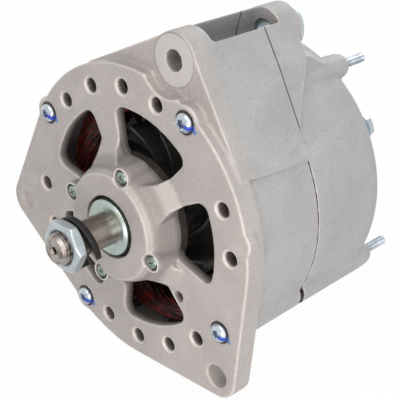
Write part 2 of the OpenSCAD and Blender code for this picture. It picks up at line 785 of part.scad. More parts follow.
module rotor_shaft() {
    color([0.63, 0.60, 0.58])
    difference() {
        turned([[0, -seat_len - thread_len], [thread_r - 1.6, -seat_len - thread_len],
            [thread_r, -seat_len - thread_len + 1.5], [thread_r, -seat_len], [seat_r, -seat_len + 0.4],
            [seat_r, rotor_y], [rotor_seat_r, rotor_y], [rotor_seat_r, rotor_end_y],
            [rear_seat_r + 1.2, rotor_end_y], [rear_seat_r + 1.2, rear_bearing_y],
            [rear_seat_r, rear_bearing_y],
            [rear_seat_r, shaft_end_y - 1], [rear_seat_r - 1, shaft_end_y], [0, shaft_end_y]]);
        taper(2.1, 0.6, -seat_len - thread_len - 0.01, -seat_len - thread_len + 3);
    }
}

// Collar that the pulley is clamped against, round the shaft in front of the bearing
module pulley_collar() {
    color([0.72, 0.79, 0.82])
    turned([[seat_r + fit, 0], [collar_r - 0.5, 0], [collar_r, 0.5], [collar_r, collar_len - 0.5],
        [seat_r + 4, collar_len], [seat_r + fit, collar_len]]);
}

// Thin hexagon nut, chamfered on both faces
module pulley_nut() {
    color([0.72, 0.79, 0.84])
    difference() {
        intersection() {
            translate([0, nut_back_y - nut_h, 0]) rotate([-90, 0, 0])
                rotate([0, 0, -17]) cylinder(r = nut_af / sqrt(3), h = nut_h, $fn = 6);
            turned([[0, nut_back_y - nut_h], [nut_af * 0.475, nut_back_y - nut_h],
                [nut_af * 0.6, nut_back_y - nut_h + nut_af * 0.065],
                [nut_af * 0.6, nut_back_y - nut_af * 0.065],
                [nut_af * 0.475, nut_back_y], [0, nut_back_y]]);
        }
        rod(thread_r + fit, nut_back_y - nut_h - 1, nut_back_y + 1);
        taper(thread_r + 1.8, thread_r - 0.2, nut_back_y - nut_h - 0.01, nut_back_y - nut_h + 2);
    }
}

// Corners of one cross section of the lock washer's helix
washer_steps = 60;
washer_start = -20;
washer_turn = 352;
washer_bend = 0.35;
function washer_section() = [[thread_r + 1, 0], [washer_r, 0], [washer_r, washer_t], [thread_r + 1, washer_t]];
function washer_ring(i) =
    let (t = i / washer_steps, a = washer_start + t * washer_turn,
        y = nut_back_y + 0.15 + washer_spread * pow(max(0, 1 - t / washer_bend), 2))
    [for (c = washer_section()) [c[0] * cos(a), y + c[1], c[0] * sin(a)]];

// Split spring washer, one turn of a wire whose upper end is bent away from the nut
module lock_washer() {
    rings = [for (i = [0:washer_steps]) washer_ring(i)];
    points = [for (r = rings) for (p = r) p];
    sides = [for (i = [0:washer_steps - 1]) for (k = [0:3])
        [i * 4 + k, (i + 1) * 4 + k, (i + 1) * 4 + (k + 1) % 4, i * 4 + (k + 1) % 4]];
    last = washer_steps * 4;
    ends = [[0, 1, 2, 3], [last + 3, last + 2, last + 1, last]];
    color([0.10, 0.10, 0.11])
        polyhedron(points = points, faces = concat(sides, ends), convexity = 4);
}

module spacer_sleeve() {
    color([0.55, 0.55, 0.57]) tube(seat_r + 3.5, seat_r + fit, retainer_y, fan_front_y);
}

// Sheet fan with curved blades, blades towards the child side of its disc
module fan(y_disc, blade_dir, blade_h, bore) {
    difference() {
        union() {
            rod(fan_r - 3, y_disc, y_disc + fan_t);
            for (i = [0:blade_count - 1])
                turn(i * 360 / blade_count + (i % 2) * 3)
                    slab(blade_dir > 0 ? y_disc + 0.2 : y_disc - blade_h,
                        blade_dir > 0 ? y_disc + fan_t + blade_h : y_disc + fan_t - 0.2)
                        intersection() {
                            difference() {
                                translate([20, 16]) circle(r = 30);
                                translate([20, 16]) circle(r = 30 - fan_t);
                            }
                            translate([22, -22]) square([fan_r, 20]);
                            circle(r = fan_r);
                        }
        }
        rod(bore, y_disc - 1, y_disc + fan_t + 1);
    }
}

module front_fan() {
    color([0.06, 0.06, 0.07]) fan(fan_front_y, -1, front_blade_h, seat_r + fit);
}

module rear_fan() {
    color([0.06, 0.06, 0.07]) fan(rotor_end_y, 1, rear_blade_h, rear_seat_r + 1.2 + fit);
}

// Turned envelope of a claw pole, its disc face at y and its fingers reaching along d
function claw_profile(y, d) = [[core_r, y], [rotor_r - 3, y], [rotor_r, y + 3 * d],
    [rotor_r, y + finger_reach * d], [rotor_r - 4, y + finger_reach * d],
    [coil_r + 2, y + (claw_disc_t + 1) * d], [coil_r + 1.5, y + claw_disc_t * d],
    [core_r, y + claw_disc_t * d]];

// Outline of one claw pole finger seen from outside
function finger_outline(y, d) = [[y, -finger_w / 2], [y + d * claw_disc_t, -finger_w / 2],
    [y + d * finger_reach, -finger_w / 5], [y + d * finger_reach, finger_w / 5],
    [y + d * claw_disc_t, finger_w / 2], [y, finger_w / 2]];

// One claw pole, its disc at y_disc and its fingers reaching over the coil
module claw_pole(y_disc, dir, phase) {
    root = claw_disc_t;
    difference() {
        union() {
            rod(core_r + 9, dir > 0 ? y_disc : y_disc - root, dir > 0 ? y_disc + root : y_disc);
            for (i = [0:finger_count - 1])
                turn(phase + i * 360 / finger_count)
                    intersection() {
                        turned(claw_profile(y_disc, dir));
                        translate([core_r, 0, 0]) rotate([90, 0, 90])
                            linear_extrude(height = rotor_r) polygon(finger_outline(y_disc, dir));
                    }
        }
        rod(rotor_seat_r + fit, y_disc - root - 1, y_disc + root + 1);
    }
}

finger_w = rotor_r * PI / finger_count * 0.94;
finger_reach = rotor_len - 2;

module claw_pole_front() {
    color([0.35, 0.34, 0.34]) claw_pole(rotor_y, 1, 0);
}

module claw_pole_rear() {
    color([0.35, 0.34, 0.34]) claw_pole(rotor_end_y, -1, 180 / finger_count);
}

module rotor_core() {
    color([0.38, 0.37, 0.37])
    tube(core_r, rotor_seat_r + fit, rotor_y + claw_disc_t, rotor_end_y - claw_disc_t);
}

// Spool that the field coil is wound on
module field_bobbin() {
    y0 = rotor_y + claw_disc_t + 0.1;
    y1 = rotor_end_y - claw_disc_t - 0.1;
    color([0.80, 0.76, 0.66])
    turned([[core_r + fit, y0], [coil_r + 0.5, y0], [coil_r + 0.5, y0 + 1.2], [core_r + 1.5, y0 + 1.2],
        [core_r + 1.5, y1 - 1.2], [coil_r + 0.5, y1 - 1.2], [coil_r + 0.5, y1], [core_r + fit, y1]]);
}

module field_coil() {
    color([0.62, 0.26, 0.12])
    tube(coil_r, core_r + 1.55, rotor_y + claw_disc_t + 1.35, rotor_end_y - claw_disc_t - 1.35);
}

module slip_ring_hub() {
    color([0.18, 0.10, 0.07])
    turned([[rear_seat_r + fit, slip_hub_y], [slip_ring_r + 1, slip_hub_y],
        [slip_ring_r + 1, slip_front_y - 0.05],
        [slip_ring_r - 2.5, slip_front_y - 0.05], [slip_ring_r - 2.5, slip_front_y + slip_ring_w + 0.05],
        [slip_ring_r + 0.6, slip_front_y + slip_ring_w + 0.05], [slip_ring_r + 0.6, slip_rear_y - 0.05],
        [slip_ring_r - 2.5, slip_rear_y - 0.05], [slip_ring_r - 2.5, slip_rear_y + slip_ring_w],
        [rear_seat_r + fit, slip_rear_y + slip_ring_w]]);
}

module slip_ring(y) {
    color([0.75, 0.48, 0.28]) tube(slip_ring_r, slip_ring_r - 2.5 + fit, y, y + slip_ring_w);
}

module slip_ring_front() {
    slip_ring(slip_front_y);
}

module slip_ring_rear() {
    slip_ring(slip_rear_y);
}

// Brush gear under the slip rings, brushes sliding along Z
brush_top_z = -slip_ring_r - 0.1;
brush_bottom_z = brush_top_z - brush_len;
spring_bottom_z = brush_bottom_z - spring_len;
brush_mid_ys = [slip_front_y + slip_ring_w / 2, slip_rear_y + slip_ring_w / 2];
shroud_r = slip_ring_r + 5;
holder_y0 = rear_y + 0.1;
holder_y1 = slip_end_y + 4;
holder_half_w = brush_w / 2 + 4;
holder_bottom_z = spring_bottom_z - 2.5;
pocket_clear = 0.15;

// Moulded brush holder with the round shroud over the slip rings
module brush_holder() {
    color([0.11, 0.11, 0.12])
    difference() {
        union() {
            rod(shroud_r, holder_y0, holder_y1);
            block([-holder_half_w, holder_y0, holder_bottom_z], [holder_half_w, holder_y1, -slip_ring_r]);
            block([-regulator_wing, holder_y0, holder_bottom_z],
                [regulator_wing, holder_y0 + 4, regulator_top_z]);
        }
        rod(slip_ring_r + 2, holder_y0 - 1, holder_y1 - 2);
        for (y = brush_mid_ys)
            block([-brush_w / 2 - pocket_clear, y - brush_t / 2 - pocket_clear, spring_bottom_z],
                [brush_w / 2 + pocket_clear, y + brush_t / 2 + pocket_clear, 0]);
        for (x = regulator_screw_x)
            translate([x, 0, regulator_screw_z]) rod(regulator_screw_r + 0.3, holder_y0 - 1, holder_y0 + 6);
    }
}

module brush(y) {
    color([0.20, 0.19, 0.19])
    difference() {
        block([-brush_w / 2, y - brush_t / 2, brush_bottom_z],
            [brush_w / 2, y + brush_t / 2, brush_top_z + 0.8]);
        rod(slip_ring_r + 0.1, y - brush_t, y + brush_t);
    }
}

module brush_front() {
    brush(brush_mid_ys[0]);
}

module brush_rear() {
    brush(brush_mid_ys[1]);
}

// Coil spring as a stack of rings joined by a thin spine
spring_turns = 7;
spring_wire_r = 0.35;
module brush_spring(y) {
    pitch = (spring_len - 4 * spring_wire_r) / (spring_turns - 1);
    color([0.70, 0.70, 0.72])
    translate([0, y, spring_bottom_z + 2 * spring_wire_r]) {
        for (i = [0:spring_turns - 1])
            translate([0, 0, i * pitch])
                rotate_extrude() translate([spring_r - spring_wire_r, 0]) circle(r = spring_wire_r, $fn = 16);
        translate([spring_r - spring_wire_r, 0, 0])
            cylinder(r = spring_wire_r * 0.9, h = spring_len - 4 * spring_wire_r, $fn = 16);
    }
}

module brush_spring_front() {
    brush_spring(brush_mid_ys[0]);
}

module brush_spring_rear() {
    brush_spring(brush_mid_ys[1]);
}

// Electronic regulator screwed on beside the brush holder
regulator_w = 27;
regulator_wing = holder_half_w + regulator_w + 3;
regulator_top_z = -17;
regulator_screw_r = 1.9;
regulator_screw_z = holder_bottom_z + 5;
regulator_screw_x = [-regulator_wing + 5, regulator_wing - 5];

module voltage_regulator() {
    x0 = holder_half_w + 0.3;
    y0 = holder_y0 + 4.1;
    color([0.58, 0.59, 0.60])
    union() {
        block([x0, y0, holder_bottom_z + 10.5], [x0 + regulator_w, y0 + 7, regulator_top_z - 1]);
        for (i = [0:5])
            block([x0 + 1.5 + i * 4.4, y0 + 6.9, holder_bottom_z + 12],
                [x0 + 3.3 + i * 4.4, y0 + 11, regulator_top_z - 2.5]);
    }
}

module regulator_screws() {
    color([0.74, 0.78, 0.80])
    for (x = regulator_screw_x)
        translate([x, 0, regulator_screw_z]) {
            rod(regulator_screw_r - fit, rear_inner_y + 1.5, holder_y0 + 4.05);
            rod(3.6, holder_y0 + 4.05, holder_y0 + 6.4);
        }
}

// Rectifier: two arc plates inside the rear wall
sink_span = [12, 168];
sink_neg_y = rear_inner_y - sink_t - 1.5;
sink_pos_y = sink_neg_y - sink_t - 4.5;
diode_reach = (sink_inner_r + sink_outer_r) / 2 + 1;
diode_pos_angles = [72, 96, 146];
diode_neg_angles = [84, 108, 158];
standoff_angles = [20, 163.5];
standoff_reach = sink_outer_r - 7;
standoff_screw_r = 1.8;
charge_angle = 46.5;
signal_angles = [122, 134];
charge_sleeve_r = charge_stud_r + 2.5;
signal_sleeve_r = signal_stud_r + 1.7;

module heat_sink(y, holes) {
    difference() {
        slab(y, y + sink_t)
            polygon(sector_points(sink_inner_r, sink_outer_r, sink_span[0], sink_span[1], 30));
        for (a = holes) around(diode_reach, a) rod(diode_r + fit, y - 1, y + sink_t + 1);
        for (a = standoff_angles) around(standoff_reach, a) rod(standoff_screw_r + fit, y - 1, y + sink_t + 1);
    }
}

// Room round the two small terminals in a plate that starts at y
module signal_clearance(y) {
    for (a = signal_angles) around(signal_reach, a) rod(signal_sleeve_r + 3 * gap, y - 1, y + sink_t + 1);
}

module heat_sink_positive() {
    color([0.66, 0.67, 0.68])
    difference() {
        heat_sink(sink_pos_y, diode_pos_angles);
        around(charge_reach, charge_angle)
            rod(charge_stud_r + fit, sink_pos_y - 1, sink_pos_y + sink_t + 1);
        signal_clearance(sink_pos_y);
    }
}

module heat_sink_negative() {
    color([0.60, 0.61, 0.62])
    difference() {
        heat_sink(sink_neg_y, diode_neg_angles);
        around(charge_reach, charge_angle)
            rod(charge_sleeve_r + gap, sink_neg_y - 1, sink_neg_y + sink_t + 1);
        signal_clearance(sink_neg_y);
        for (a = diode_pos_angles)
            around(diode_reach, a) rod(diode_r * 0.45, sink_neg_y - 1, sink_neg_y + sink_t + 1);
    }
}

// Press fit diodes with their wires on one side
module diodes_positive() {
    color([0.45, 0.44, 0.44])
    for (a = diode_pos_angles)
        around(diode_reach, a) {
            rod(diode_r, sink_pos_y - 1.5, sink_pos_y + sink_t);
            rod(diode_r * 0.5, sink_pos_y - 3, sink_pos_y - 1.5);
            rod(0.8, sink_pos_y - 5, sink_pos_y - 3);
        }
}

module diodes_negative() {
    color([0.45, 0.44, 0.44])
    for (a = diode_neg_angles)
        around(diode_reach, a) {
            rod(diode_r, sink_neg_y - 1.5, sink_neg_y + sink_t);
            rod(diode_r * 0.5, sink_neg_y - 2.7, sink_neg_y - 1.5);
        }
}

// Insulated standoffs and their screws, which carry both plates on the rear wall
module sink_standoffs() {
    color([0.35, 0.30, 0.24])
    for (a = standoff_angles)
        around(standoff_reach, a) {
            rod(standoff_screw_r, sink_pos_y - 0.1, rear_y - 2.2);
            rod(3.4, sink_neg_y + sink_t, rear_inner_y);
            rod(3.4, sink_pos_y + sink_t, sink_neg_y);
            rod(3.4, sink_pos_y - 2, sink_pos_y);
        }
}

// Three small diodes moulded in a strip behind the positive plate
module exciter_diodes() {
    color([0.10, 0.10, 0.11])
    slab(sink_pos_y - 4.2, sink_pos_y - 0.1)
        polygon(sector_points(sink_inner_r + 3, sink_inner_r + 9, 106, 136, 8));
}

module charge_stud() {
    color([0.76, 0.80, 0.83])
    around(charge_reach, charge_angle) {
        rod(charge_stud_r, sink_pos_y - 1.9, rear_y + charge_collar_h + charge_stud_r * 1.6 + 1.55);
        rod(charge_stud_r + 2.3, sink_pos_y - 5.4, sink_pos_y - 0.02);
    }
}

module charge_insulator() {
    color([0.13, 0.13, 0.14])
    around(charge_reach, charge_angle)
        difference() {
            union() {
                rod(charge_sleeve_r, sink_pos_y + sink_t + 0.02, rear_y + 1);
                rod(charge_sleeve_r + 2.2, rear_y + 0.05, rear_y + charge_collar_h);
            }
            rod(charge_stud_r + fit, sink_pos_y, rear_y + charge_collar_h + 1);
        }
}

// Hexagon nut on a terminal
module terminal_nut(stud_r, y0, h) {
    difference() {
        translate([0, y0, 0]) rotate([-90, 0, 0]) cylinder(r = stud_r * 1.86, h = h, $fn = 6);
        rod(stud_r + fit, y0 - 1, y0 + h + 1);
    }
}

module charge_nut() {
    color([0.70, 0.79, 0.85])
    around(charge_reach, charge_angle) terminal_nut(charge_stud_r, rear_y + charge_collar_h + 0.05, charge_stud_r * 1.6);
}

module signal_studs() {
    color([0.76, 0.80, 0.83])
    for (a = signal_angles)
        around(signal_reach, a) {
            rod(signal_stud_r, rear_inner_y - 7, rear_y + 12);
            rod(signal_stud_r + 1.5, rear_inner_y - 10, rear_inner_y - 7);
        }
}

module signal_insulators() {
    color([0.13, 0.13, 0.14])
    for (a = signal_angles)
        around(signal_reach, a)
            difference() {
                union() {
                    rod(signal_sleeve_r, rear_inner_y - 6.95, rear_y + 0.5);
                    rod(signal_sleeve_r + 1.2, rear_y + 0.05, rear_y + 1.5);
                }
                rod(signal_stud_r + fit, rear_inner_y - 8, rear_y + 4);
            }
}

module signal_nuts() {
    color([0.76, 0.80, 0.83])
    for (a = signal_angles)
        around(signal_reach, a) terminal_nut(signal_stud_r, rear_y + 1.55, signal_stud_r * 1.6);
}

drive_end_housing();
rear_housing();
through_bolts();
bearing_retainer();
retainer_screws();
slide_bush();
front_bearing_outer();
front_bearing_seals();
front_bearing_cage();
front_bearing_balls();
front_bearing_inner();
rear_bearing_outer();
rear_bearing_seals();
rear_bearing_cage();
rear_bearing_balls();
rear_bearing_inner();
stator_core();
stator_winding();
rotor_shaft();
pulley_collar();
pulley_nut();
lock_washer();
spacer_sleeve();
front_fan();
rear_fan();
claw_pole_front();
claw_pole_rear();
rotor_core();
field_bobbin();
field_coil();
slip_ring_hub();
slip_ring_front();
slip_ring_rear();
brush_holder();
brush_front();
brush_rear();
brush_spring_front();
brush_spring_rear();
voltage_regulator();
regulator_screws();
heat_sink_positive();
heat_sink_negative();
diodes_positive();
diodes_negative();
sink_standoffs();
exciter_diodes();
charge_stud();
charge_insulator();
charge_nut();
signal_studs();
signal_insulators();
signal_nuts();
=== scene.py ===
"""Engine alternator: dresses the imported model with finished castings, fasteners, windings and light.

Lengths are in millimetres, and in metres (times MM) in materials, meshes and the studio.
"""

import json
import logging
import math
from collections.abc import Callable
from dataclasses import dataclass, field, replace
from enum import Enum
from functools import cache

import bmesh
import bpy
import numpy as np
from bpy.types import ID, Material, Mesh, Modifier, Node, NodeSocket, NodeTree, Object
from mathutils import Matrix, Vector

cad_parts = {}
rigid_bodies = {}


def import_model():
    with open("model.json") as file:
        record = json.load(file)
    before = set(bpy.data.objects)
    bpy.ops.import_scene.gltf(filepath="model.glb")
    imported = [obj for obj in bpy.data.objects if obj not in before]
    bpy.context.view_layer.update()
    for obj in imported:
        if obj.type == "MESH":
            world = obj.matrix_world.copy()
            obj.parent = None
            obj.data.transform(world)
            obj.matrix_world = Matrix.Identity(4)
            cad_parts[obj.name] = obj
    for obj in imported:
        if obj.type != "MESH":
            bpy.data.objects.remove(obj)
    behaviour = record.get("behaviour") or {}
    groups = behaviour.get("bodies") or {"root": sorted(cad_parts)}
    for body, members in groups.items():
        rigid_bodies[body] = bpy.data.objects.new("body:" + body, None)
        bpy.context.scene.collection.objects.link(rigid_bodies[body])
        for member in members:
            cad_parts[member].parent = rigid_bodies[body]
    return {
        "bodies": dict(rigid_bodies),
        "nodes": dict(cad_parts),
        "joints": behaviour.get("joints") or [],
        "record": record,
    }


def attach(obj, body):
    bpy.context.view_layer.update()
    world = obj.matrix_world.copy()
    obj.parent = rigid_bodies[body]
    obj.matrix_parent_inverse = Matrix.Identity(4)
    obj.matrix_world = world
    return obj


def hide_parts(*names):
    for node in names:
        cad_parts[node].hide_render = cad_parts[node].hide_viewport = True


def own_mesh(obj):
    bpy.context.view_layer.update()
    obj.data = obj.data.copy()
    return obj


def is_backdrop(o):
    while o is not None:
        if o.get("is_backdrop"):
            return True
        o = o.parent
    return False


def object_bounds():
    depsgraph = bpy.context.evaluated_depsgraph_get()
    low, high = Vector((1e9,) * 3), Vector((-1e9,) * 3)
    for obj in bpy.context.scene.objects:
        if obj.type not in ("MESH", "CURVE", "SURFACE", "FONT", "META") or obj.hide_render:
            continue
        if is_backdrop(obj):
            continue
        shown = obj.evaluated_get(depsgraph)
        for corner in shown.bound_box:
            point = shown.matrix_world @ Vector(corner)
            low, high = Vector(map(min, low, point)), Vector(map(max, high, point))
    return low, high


LOG = logging.getLogger("alternator")
MM = 0.001
Point = tuple[float, float]
Colour = tuple[float, float, float]

BOLT_REACH = 74.0
BOLT_ANGLES = (75, 165, 255, 345)
BOLT_SEAT_Y = 17.2
RING_REACH = 69.0
RING_ANGLES = (90, 110, 130, 150, 200, 220, 270, 290, 310, 330, 20, 40)
RING_HOLE_R = 3.8
SCREW_REACH = 30.6
SCREW_ANGLES = (0, 90, 180, 270)
LUG_HEIGHT = 92.0
BUSH_BORE_R = 5.25
SEAM = 71.0
ENDS = ("front", "rear")
CHARGE_REACH = 56.0
CHARGE_ANGLE = 46.5


class Body(str, Enum):
    """The bodies that the modelled pieces ride on."""

    HOUSING = "housing"
    ROTOR = "rotor"
    BUSH = "bush_body"


class Recess(Enum):
    """Shape of the driver recess in a screw head, by its number of arms."""

    CROSS = 4
    STAR = 6


def polar(reach: float, degrees: float) -> Point:
    """X and Z at a distance and an angle round the shaft."""
    return reach * math.cos(math.radians(degrees)), reach * math.sin(math.radians(degrees))


def operation(name: str, last: bool = False) -> Callable[..., "Value"]:
    """Makes a method of Value that adds one Math node.

    Args:
        name: The node's operation.
        last: Whether the value itself is the last operand.

    Returns:
        The method.
    """

    def method(self: "Value", *others: object) -> "Value":
        """Adds the node with this value and the others as operands."""
        operands = (*others, self) if last else (self, *others)
        return self.nodes.first("ShaderNodeMath", dict(enumerate(operands)), operation=name)

    return method


class Value:
    """A number in a node tree that Python's operators work on."""

    def __init__(self, nodes: "Nodes", socket: NodeSocket) -> None:
        """Wraps a socket of one tree."""
        self.nodes = nodes
        self.socket = socket

    __add__ = operation("ADD")
    __radd__ = operation("ADD", last=True)
    __sub__ = operation("SUBTRACT")
    __rsub__ = operation("SUBTRACT", last=True)
    __mul__ = operation("MULTIPLY")
    __truediv__ = operation("DIVIDE")
    root = operation("SQRT")
    cosine = operation("COSINE")
    sine = operation("SINE")
    fraction = operation("FRACT")
    least = operation("MINIMUM")
    most = operation("MAXIMUM")

    def step(self, low: float, high: float) -> "Value":
        """Rises smoothly from 0 at low to 1 at high."""
        inputs = {"Value": self, "From Min": low, "From Max": high}
        return self.nodes.first("ShaderNodeMapRange", inputs, interpolation_type="SMOOTHSTEP")

    def fade(self, low: float, high: float) -> "Value":
        """Falls smoothly from 1 at low to 0 at high."""
        return 1 - self.step(low, high)

    def band(self, low: float, full: float, fall: float, high: float) -> "Value":
        """Rises from low to full and falls from fall to high."""
        return self.step(low, full) * self.fade(fall, high)


class Nodes:
    """A node tree under construction."""

    def __init__(self, tree: NodeTree) -> None:
        """Starts with an empty tree."""
        self.tree = tree
        tree.nodes.clear()

    def add(self, kind: str, inputs: dict | None = None, **settings: object) -> Node:
        """Adds any node.

        Args:
            kind: The node's type.
            inputs: Values or links, by the socket's name or number.
            settings: Properties that are set first.

        Returns:
            The new node.
        """
        made = self.tree.nodes.new(kind)
        for name, value in settings.items():
            setattr(made, name, value)
        for key, value in (inputs or {}).items():
            source = value.socket if isinstance(value, Value) else value
            if isinstance(source, NodeSocket):
                self.tree.links.new(source, made.inputs[key])
            else:
                made.inputs[key].default_value = source
        return made

    def first(self, kind: str, inputs: dict | None = None, **settings: object) -> Value:
        """Adds a node and takes its first output."""
        return Value(self, self.add(kind, inputs, **settings).outputs[0])

    def seen(self) -> Value:
        """1 for rays from the camera, off a mirror or through glass."""
        path = self.add("ShaderNodeLightPath").outputs
        rays = [Value(self, path[f"Is {name} Ray"]) for name in ("Camera", "Glossy", "Transmission")]
        return rays[0].most(rays[1]).most(rays[2])


class Shader(Nodes):
    """One material under construction."""

    def __init__(self, name: str) -> None:
        """Starts an empty node material with object coordinates at hand."""
        self.material = bpy.data.materials.new(name)
        self.material.use_nodes = True
        super().__init__(self.material.node_tree)
        self.place = self.add("ShaderNodeTexCoord").outputs["Object"]

    def axes(self) -> tuple[Value, Value, Value]:
        """The place on the piece along X, Y and Z, in metres."""
        split = self.add("ShaderNodeSeparateXYZ", {0: self.place})
        return tuple(Value(self, split.outputs[i]) for i in range(3))

    def stretched(self, scale: tuple[float, float, float]) -> NodeSocket:
        """Coordinates scaled along each axis."""
        return self.add("ShaderNodeMapping", {"Vector": self.place, "Scale": scale}).outputs[0]

    def noise(self, scale: float, detail: float, roughness: float = 0.55, where: object = None) -> Value:
        """Fractal noise round 0.5, of scale features per metre and detail octaves."""
        inputs = {"Vector": where or self.place, "Scale": scale, "Detail": detail, "Roughness": roughness}
        return self.first("ShaderNodeTexNoise", inputs)

    def mix(self, share: object, first: object, second: object) -> NodeSocket:
        """Mixes two colours or sockets, with a share of the second from 0 to 1."""
        a, b = ((*c, 1.0) if isinstance(c, tuple) else c for c in (first, second))
        return self.add("ShaderNodeMix", {0: share, 6: a, 7: b}, data_type="RGBA").outputs[2]

    def bump(self, height: Value, depth: float, strength: float, **below: object) -> NodeSocket:
        """Turns a height into a normal, depth metres deep, on a coarser Normal if one is given."""
        inputs = {"Height": height, "Distance": depth, "Strength": strength, **below}
        return self.add("ShaderNodeBump", inputs).outputs[0]

    def finish(self, **sockets: object) -> Material:
        """Closes the material with one Principled shader.

        Args:
            sockets: Values by socket name, with _ for a space.

        Returns:
            The material.
        """
        named = {key.replace("_", " "): value for key, value in sockets.items()}
        self.add("ShaderNodeOutputMaterial", {0: self.first("ShaderNodeBsdfPrincipled", named)})
        return self.material


def nearest(shader: Shader, reach: float, degrees: tuple[float, ...]) -> Value:
    """Distance from the nearest of several axes along Y.

    Args:
        shader: The material that asks.
        reach: Distance of the axes from the shaft, in metres.
        degrees: Their angles.

    Returns:
        The distance in metres.
    """
    x, _, z = shader.axes()
    least = None
    for ax, az in (polar(reach, angle) for angle in degrees):
        dx, dz = x - ax, z - az
        square = dx * dx + dz * dz
        least = square if least is None else least.least(square)
    return least.root()


@dataclass(frozen=True)
class WitnessPaint:
    """Short strokes of blue paint from each bolt head to the casting."""

    colour: Colour = (0.025, 0.065, 0.42)
    thin: Colour = (0.06, 0.19, 0.52)
    heading: float = -3
    start: float = 1.8 * MM
    end: float = 7.0 * MM
    width: float = 1.25 * MM
    ragged: float = 2.6 * MM

    def mask(self, shader: Shader) -> Value:
        """Where the paint lies.

        Args:
            shader: The material that shows it.

        Returns:
            1 on the paint and 0 beside it.
        """
        x, y, z = shader.axes()
        noise = shader.noise(650, 4, 0.7)
        ux, uz = polar(1, self.heading)
        nearest_stroke = None
        for ax, az in (polar(BOLT_REACH * MM, angle) for angle in BOLT_ANGLES):
            dx, dz = x - ax, z - az
            along = (dx * ux + dz * uz).most(self.start).least(self.end)
            ox, oz = dx - along * ux, dz - along * uz
            away = (ox * ox + oz * oz).root()
            nearest_stroke = away if nearest_stroke is None else nearest_stroke.least(away)
        edge = nearest_stroke + (noise - 0.5) * self.ragged
        return edge.fade(self.width * 0.8, self.width * 1.15) * y.fade(18 * MM, 19 * MM)


@dataclass(frozen=True)
class PaintedShadeAndRimHighlights:
    """Painted shade on the front casting in windows, bores, bolt seats and on the hub's side, with painted
    highlights on the countersinks.
    """

    # Colour of the painted shade.
    colour: Colour = (0.085, 0.066, 0.058)
    hole_r: float = RING_HOLE_R * MM
    bolt_r: float = 5.0 * MM
    window_r: float = 63.5 * MM
    wall_y: float = 16.8 * MM

    def mask(self, shader: Shader) -> Value:
        """How much painted shade darkens the casting.

        Args:
            shader: The material that shows it.

        Returns:
            0 on open faces and up to 1 where shade is painted.
        """
        x, y, z = shader.axes()
        hole = nearest(shader, RING_REACH * MM, RING_ANGLES)
        bolt = nearest(shader, BOLT_REACH * MM, BOLT_ANGLES)
        reach = (x * x + z * z).root()
        r = self.bolt_r
        # Painted shade on the window walls, in the ring bores, round the bolt seats and on the hub's side.
        walls = reach.fade(self.window_r, self.window_r + 1.2 * MM) * y.step(self.wall_y, 21 * MM)
        bores = hole.fade(self.hole_r + 0.15 * MM, self.hole_r + 0.5 * MM) * y.step(self.wall_y, 19 * MM)
        seats = bolt.band(r - 0.7 * MM, r - 0.1 * MM, r + 0.8 * MM, r + 1.3 * MM) * y.fade(18 * MM, 19 * MM)
        hub = reach.band(28.6 * MM, 29.4 * MM, 33.5 * MM, 37 * MM) * y.step(3.6 * MM, 6 * MM)
        return (walls * 0.85).most(bores * 0.8).most(seats * 0.85).most(hub * 0.38)

    def rim_highlights(self, shader: Shader) -> Value:
        """1 on the countersinks of the ring of holes, where a highlight is painted."""
        r = self.hole_r
        hole = nearest(shader, RING_REACH * MM, RING_ANGLES)
        rim = hole.band(r - 0.2 * MM, r, r + 1.0 * MM, r + 1.3 * MM)
        return rim * shader.axes()[1].fade(17.0 * MM, 17.4 * MM)


